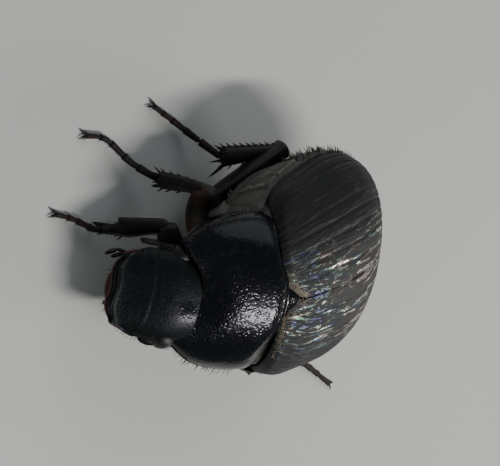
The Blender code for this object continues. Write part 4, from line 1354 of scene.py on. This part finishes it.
for key in LEGS:
    kind = kind_of(key)
    root, knee = joints_of(key)[:2]
    line = knee - root
    centres = [root - line * 0.12, root + line * 0.45, knee + unit(line) * 0.05]
    shape = limb(centres, THIGH[kind], leg_side(key), THIGH_CAP[kind], THIGH_SQUARE[kind])
    thigh = wrap("thigh_" + key, 80, 48, shape, THIGH_SKIN[kind])
    keep(thigh, "leg", "femur_" + key)

# %% [markdown]
# A shin is flat and widens towards the foot. Those of the middle and hind legs carry two ridges
# with short spines, a crown of small ones at the end and two spurs; those of the fore legs have two
# strong teeth on the outer edge, for digging. Both teeth begin as relief of the outline, and a
# thick spike lengthens the one at the end. All spines are spikes that are joined on.

# %% Shins
SHIN = {
    "fore": [(0.0, 0.14, 0.14, 0.12), (0.3, 0.18, 0.17, 0.13), (0.66, 0.18, 0.18, 0.13),
             (0.76, 0.12, 0.14, 0.11), (1.0, 0.10, 0.09, 0.08)],
    "mid": [(0.0, 0.09, 0.09, 0.10), (0.2, 0.13, 0.13, 0.12), (0.6, 0.18, 0.18, 0.13),
            (1.0, 0.20, 0.19, 0.13)],
    "hind": [(0.0, 0.09, 0.09, 0.09), (0.2, 0.12, 0.12, 0.10), (0.7, 0.19, 0.18, 0.13),
             (1.0, 0.23, 0.21, 0.13)],
}
SPINE_ROWS = {
    "fore": [(0.70, 1, 0.15)],
    "mid": [(0.28, -1, 0.13), (0.46, -1, 0.16), (0.62, -1, 0.18), (0.80, -1, 0.19), (0.93, -1, 0.20),
            (0.52, 1, 0.13), (0.74, 1, 0.15), (0.90, 1, 0.17)],
    "hind": [(0.14, -1, 0.10), (0.24, -1, 0.12), (0.34, -1, 0.13), (0.44, -1, 0.15), (0.54, -1, 0.14),
             (0.64, -1, 0.16), (0.74, -1, 0.16), (0.84, -1, 0.17), (0.94, -1, 0.18), (0.45, 1, 0.13),
             (0.66, 1, 0.15), (0.86, 1, 0.17)],
}
TEETH = ((0.70, 0.08), (0.96, 0.05))
FORE_SHIN_LONGER = 1.26
PAIR_LIFTS = (0.45, -0.35)
SPINE_RADIUS = 0.022
CROWN = {"fore": 2, "mid": 7, "hind": 7}
LONG_SPUR = {"mid": 0.28, "hind": 0.44}


def fore_teeth(u, v):
    """Two pointed teeth on the outer edge, as relief: each rises slowly and ends steeply."""
    edge = np.clip(-circle(v)[0], 0, 1) ** 6
    total = np.zeros(len(u))
    for place, height in TEETH:
        behind = np.clip(1 - (place - u) / 0.16, 0, 1) * (u <= place)
        ahead = np.clip(1 - (u - place) / 0.035, 0, 1) * (u > place)
        total += height * (behind**1.5 + ahead) * edge
    return total


def shin_ends(key):
    """The knee and the end of the shin, which in a fore leg reaches past the root of the foot."""
    knee, ankle = joints_of(key)[1:3]
    longer = FORE_SHIN_LONGER if kind_of(key) == "fore" else 1.0
    return knee, knee + (ankle - knee) * longer


def shin_spines(key):
    """Placements for the pairs of spines on both ridges, the crown at the end, and spurs or a tooth."""
    kind = kind_of(key)
    knee, ankle = shin_ends(key)
    line, side, across = limb_frame(knee, ankle, joints_of(key)[0] - knee)
    made = []
    for share, edge, length in SPINE_ROWS[kind]:
        outer, inner, deep = read_curve(SHIN[kind], [share])[:, 0]
        ridge = side * edge * (outer if edge < 0 else inner) * 0.80
        for slot, lift in enumerate(PAIR_LIFTS):
            root = knee + (ankle - knee) * (share + 0.05 * slot) + ridge + across * deep * lift
            way = side * edge * 0.8 + line * 0.75 + across * lift * 0.9
            made.append((root, way, length * (1.0 - 0.2 * slot), SPINE_RADIUS))
    outer, inner, deep = SHIN[kind][-1][1:]
    for slot in range(CROWN[kind]):
        angle = math.pi * (slot + 0.5) / CROWN[kind]
        out = side * math.cos(angle)
        root = ankle - line * 0.03 + out * outer * 0.8 + across * math.sin(angle) * deep * 0.7
        made.append((root, line + out * 0.45 + across * 0.15, 0.15, 0.020))
    if kind == "fore":
        made.append((ankle - line * 0.10 - side * outer * 0.3, line * 0.9 - side * 0.60, 0.30, 0.075))
        return made
    root = ankle - line * 0.05
    made.append((root + side * inner * 0.7, line * 0.8 + side * 0.62, LONG_SPUR[kind], 0.044))
    made.append((root + side * inner * 0.3 - across * deep * 0.5, line + side * 0.1, 0.28, 0.030))
    return made


for key in LEGS:
    kind = kind_of(key)
    knee, ankle = shin_ends(key)
    line, side, across = limb_frame(knee, ankle, joints_of(key)[0] - knee)
    shape = limb([knee - line * 0.05, (knee + ankle) / 2, ankle + line * 0.03], SHIN[kind], side, 0.10)
    if kind == "fore":
        shape = raised(shape, fore_teeth, about((knee + ankle) / 2))
    shin = wrap("shin_" + key, 90, 40, shape, leg_skin)
    joined(shin, [stamp("spines", thick_spike, shin_spines(key), leg_skin)])
    keep(shin, "leg", "tibia_" + key)

# %% [markdown]
# A foot is a string of five short links, each narrow at its start and wider at its end, with
# two curved claws. The string is one wrapped grid whose width follows the links. The claws are
# spikes with a stronger bend, each with a smaller tooth beside it.

# %% Feet
LINKS = 5
LINK_WIDE = 0.072
LINK_NARROW = 0.050
LINK_LEAST = 0.018
LINK_ENDS = (0.0, 0.26, 0.44, 0.61, 0.77, 1.0)
CLAWS = ((0.015, 0.38, 0.78, 0.17, 0.030), (0.012, 0.20, 0.70, 0.11, 0.022))


def foot_shape(key):
    stations = numbered(joints_of(key)[2:])
    ends = np.array(LINK_ENDS)

    def shape(u, v):
        middle, line = centre_line(stations, u)
        way = unit(UPWARDS[None, :] - line * line[:, 2:3])
        across = np.cross(line, way)
        link = np.clip(np.searchsorted(LINK_ENDS, u, side="right") - 1, 0, LINKS - 1)
        part = np.clip((u - ends[link]) / (ends[link + 1] - ends[link]), 0, 1)
        wide = between(LINK_NARROW, LINK_WIDE, part**1.4) * (1.36 - 0.52 * u)
        closing = np.sqrt(np.clip((1 - part) / 0.07, 0, 1))
        opening = np.sqrt(np.clip(part / 0.05, 0.1, 1))
        radius = np.maximum(wide * closing * opening, LINK_LEAST) * end_cap(u, 0.02)
        c, s = circle(v)
        return middle + way * (radius * s)[:, None] + across * (radius * c)[:, None]
    return shape


claw_spike = spike_model(6, 6, 2.2)
for key in LEGS:
    foot = wrap("foot_" + key, 200, 14, foot_shape(key), foot_skin)
    before, tip = joints_of(key)[-2:]
    line = unit((tip - before) * np.array([1.0, 1.0, 0.0]))
    aside = np.array([-line[1], line[0], 0.0])
    placements = []
    for sign in (-1, 1):
        for apart, spread, up, length, radius in CLAWS:
            root = tip - line * 0.04 + aside * sign * apart
            placements.append((root, line + aside * sign * spread + UPWARDS * up, length, radius))
    joined(foot, [stamp("claws", claw_spike, placements, foot_skin)])
    keep(foot, "leg", "tarsus_" + key)

# %% [markdown]
# Bristles stand on the shield's sides, the head, the margins and base of the wing cases, the
# belly's rings and the legs. Each is a copy of one thin spike, bent a little, and each group is
# one mesh. A bristle's root is a place on the skin that carries it, found by the same rule that
# made the skin, and its small patch in the map OFBake lies at that place of the unwrapped skin.
# Which way is outwards is told from a line low on the beetle's left. The hairs of the flanks and the
# wing cases stand off it, but under the belly many lie inwards, so that its lowest part looks bare.

# %% Helpers for bristles
dice = np.random.default_rng(11)
TAILWARDS = unit(to_floor([0.0, 1.0, 0.0]) - to_floor([0.0, 0.0, 0.0]))
WAY_SCATTER = 0.16
FLOOR_CLEAR = 0.05
low_line = off_line(sum(shin_ends("fore_left")) / 2)


def tuft(skin, u, v, centre, off, tailwards, size, aside=0.0, above=0.0):
    """Hairs at places U along and V round a skin, which stand off it and lean tailwards or aside.
    The last two of what comes back are their spots on the unwrapped skin and their size."""
    roots, out = skin_and_normal(skin, u, v, centre, 0.002)
    spots = np.stack([0.01 + 0.98 * u, 0.01 + 0.98 * (v % 1.0)], 1)
    return roots + out * above, out * off + TAILWARDS * tailwards + aside, spots, size


def bristles(name, groups, finish, slot):
    """One mesh from groups of roots, ways, spots and a size: shortest, longest and radius."""
    placements = []
    spots = []
    for roots, ways, places, (shortest, longest, radius) in groups:
        for root, way, place in zip(roots, ways, places):
            way = unit(np.asarray(way) + dice.normal(0, WAY_SCATTER, 3))
            length = dice.uniform(shortest, longest)
            if (root + way * length)[2] < FLOOR_CLEAR:
                continue
            placements.append((root - way * 0.02, way, length, radius * dice.uniform(0.8, 1.15)))
            spots.append(place)
    piece = stamp(name, hair_spike, placements, finish, spots)
    return keep(piece, slot)


def spread_out(count, low, high):
    """Places in even steps with a little scatter."""
    steps = (np.arange(count) + 0.5 + dice.uniform(-0.35, 0.35, count)) / count
    return between(low, high, steps)


print("bristles are bent by", hair_spike[0][-1, 0].round(1), "radii")

# %% [markdown]
# The shield and the head carry bristles along both sides, and the head has more below its front
# edge. They point forwards and outwards. The tail plate has a thin coat that points back.

# %% Bristles of the shield, the head and the tail plate
groups = []
for side_v in (0.0, 0.5):
    groups.append(tuft(shield_shape, spread_out(34, 0.10, 0.92), side_v + dice.normal(0, 0.006, 34),
                       shield_centre, 0.8, -0.45, (0.10, 0.25, 0.0085)))
bristles("shield_bristles", groups, bristle_dark, "plate")
groups = []
for side_v in (0.02, 0.48):
    groups.append(tuft(head_shape, spread_out(22, 0.06, 0.62), side_v + dice.normal(0, 0.010, 22),
                       head_centre, 0.8, -0.4, (0.08, 0.20, 0.0080)))
groups.append(tuft(head_shape, np.full(18, 0.045), spread_out(18, 0.56, 0.94),
                   head_centre, 1.0, -0.8, (0.08, 0.16, 0.0080)))
bristles("head_bristles", groups, bristle_brown, "plate")
coat = tuft(tail_shape, dice.uniform(0.1, 0.9, 90), dice.uniform(0.5, 1.0, 90),
            low_line, 0.6, 0.7, (0.08, 0.17, 0.0080))
bristles("tail_bristles", [coat], bristle_brown, "underside")

# %% [markdown]
# A fine fringe hangs from the margin of each wing case. Pale hair lies over the front edge of both
# cases beside the scutellum, and it reaches further out on the left one.

# %% Bristles of the wing cases
fringe = []
base_hair = []
for sign in (1, -1):
    surface = case_shell(sign)
    v = np.full(150, OUTER_SHARE * 0.985)
    fringe.append(tuft(surface, spread_out(150, 0.04, 0.985), v, low_line, 0.95, 0.25, (0.06, 0.12, 0.0075),
                       aside=UPWARDS * -0.5))
    share = dice.beta(1.0, 1.9, 420) * (0.56 if sign > 0 else 0.20)
    u = 0.006 + dice.gamma(1.6, 0.0045, 420) * (1 + bell(share, 0.10))
    aside = dice.normal(0, 0.35, (420, 1)) * np.array([[1.0, 0.0, 0.0]])
    base_hair.append(tuft(surface, np.clip(u, 0.006, 0.08), share * OUTER_SHARE + 0.004, low_line,
                          0.26, 0.9, (0.11, 0.21, 0.0075), aside=aside))
bristles("case_fringe", fringe, bristle_brown, "shell")
bristles("case_base_hair", base_hair, bristle_pale, "shell")

# %% [markdown]
# Each ring of the belly ends in a row of bristles, with loose ones along both flanks. The chest
# has pale hair, thickest along the ridges below the wing case. A place on a ridge is given by its
# length and level, so its V is looked up among many places round the barrel.

# %% Bristles of the chest and the belly
groups = []
for ring in range(1, BELLY_RINGS + 1):
    place = between(BARREL_CAP, 1 - BARREL_CAP, (ring - 0.12) / BELLY_RINGS)
    v = spread_out(64, 0.515, 0.985)
    u = place + dice.normal(0, 0.006, 64)
    groups.append(tuft(belly_shape, u, v, low_line, 0.55, 0.8, (0.09, 0.18, 0.0080)))
for low, high in ((0.510, 0.575), (0.925, 0.990)):
    v = dice.uniform(low, high, 150)
    u = dice.uniform(0.05, 0.95, 150)
    groups.append(tuft(belly_shape, u, v, low_line, 0.9, 0.45, (0.12, 0.22, 0.0130)))
bristles("belly_bristles", groups, bristle_dark, "underside")
groups = []
for first, last, _, _ in SIDE_RIDGES:
    share = dice.uniform(0, 1, 60)
    place = between(first[0], last[0], share)
    level = between(first[1], last[1], share)
    u = BARREL_CAP + (1 - 2 * BARREL_CAP) * (place - CHEST_SPAN[0]) / (CHEST_SPAN[1] - CHEST_SPAN[0])
    for low, high in ((0.5, 0.75), (0.75, 1.0)):
        turns = np.linspace(low, high, 200)
        levels = np.array([barrel_ring(np.full(200, spot), turns)[1] for spot in place])
        v = turns[np.argmin(np.abs(levels - level[:, None]), axis=1)]
        groups.append(tuft(chest_shape, u, v, low_line, 0.25, 0.9, (0.09, 0.18, 0.0070), above=0.03))
groups.append(tuft(chest_shape, dice.uniform(0.1, 0.95, 200), dice.uniform(0.66, 0.84, 200), low_line,
                   0.5, 0.8, (0.10, 0.22, 0.0070)))
bristles("chest_hair", groups, bristle_pale, "underside")

# %% [markdown]
# Thighs and shins carry short bristles on both edges, and each link of a foot has three at its
# end. The hind thigh that is seen edge on has a pale fringe along its upper edge as well.

# %% Bristles of the legs
groups = []
pale_groups = []
PICTURE_UP = np.array([-0.958, 0.250, -0.138])


def leg_spots(leg, share, row):
    """One column of the unwrapped skin for each leg, and one row for each kind of bristle."""
    return np.stack([(leg + 0.1 + 0.8 * share) / 6, np.full(len(share), row)], 1)


for slot, key in enumerate(LEGS):
    joints = joints_of(key)
    knee, ankle = shin_ends(key)
    spans = ((joints[0], joints[1], 16, 0.26), (knee, ankle, 26, 0.15))
    for part, (start, end, count, wide) in enumerate(spans):
        line, side, across = limb_frame(start, end, leg_side(key) if part == 0 else joints[0] - knee)
        edge_on = key == "hind_right" and part == 0
        if edge_on:
            side, wide = across * -1, 0.17
        share = spread_out(count, 0.15, 0.98)
        edge = np.where(np.arange(count) % 2 == 0, 1.0, -1.0)
        roots = start + (end - start) * share[:, None] + side * (edge * wide * 0.92)[:, None]
        ways = side * (edge * 0.8)[:, None] + line * 0.8
        groups.append((roots, ways, leg_spots(slot, share, 0.2 + 0.4 * part), (0.07, 0.15, 0.0075)))
        if edge_on:
            away = across * (1 if across @ PICTURE_UP > 0 else -1)
            share = spread_out(90, 0.30, 0.99)
            roots = start + (end - start) * share[:, None] + away * 0.165 + leg_side(key) * 0.05
            ways = np.repeat((away * 0.3 + line * 0.9)[None, :], 90, 0)
            pale_groups.append((roots, ways, leg_spots(slot, share, 0.8), (0.08, 0.15, 0.0080)))
    foot_path = along_line(joints[2:])
    for end in LINK_ENDS[1:]:
        place = foot_path(end - 0.02)[0]
        line = unit(foot_path(min(end + 0.01, 1.0))[0] - foot_path(end - 0.05)[0])
        aside = unit(np.cross(line, UPWARDS))
        roots = np.array([place + aside * 0.05, place - aside * 0.05, place - UPWARDS * 0.04])
        ways = np.array([aside + line, line - aside, line - UPWARDS * 0.5])
        spots = np.full((3, 2), (slot + 0.1 + 0.8 * end) / 6)
        groups.append((roots, ways, spots, (0.07, 0.13, 0.0085)))
bristles("leg_bristles", groups, bristle_dark, "leg")
bristles("thigh_fringe", pale_groups, bristle_pale, "leg")
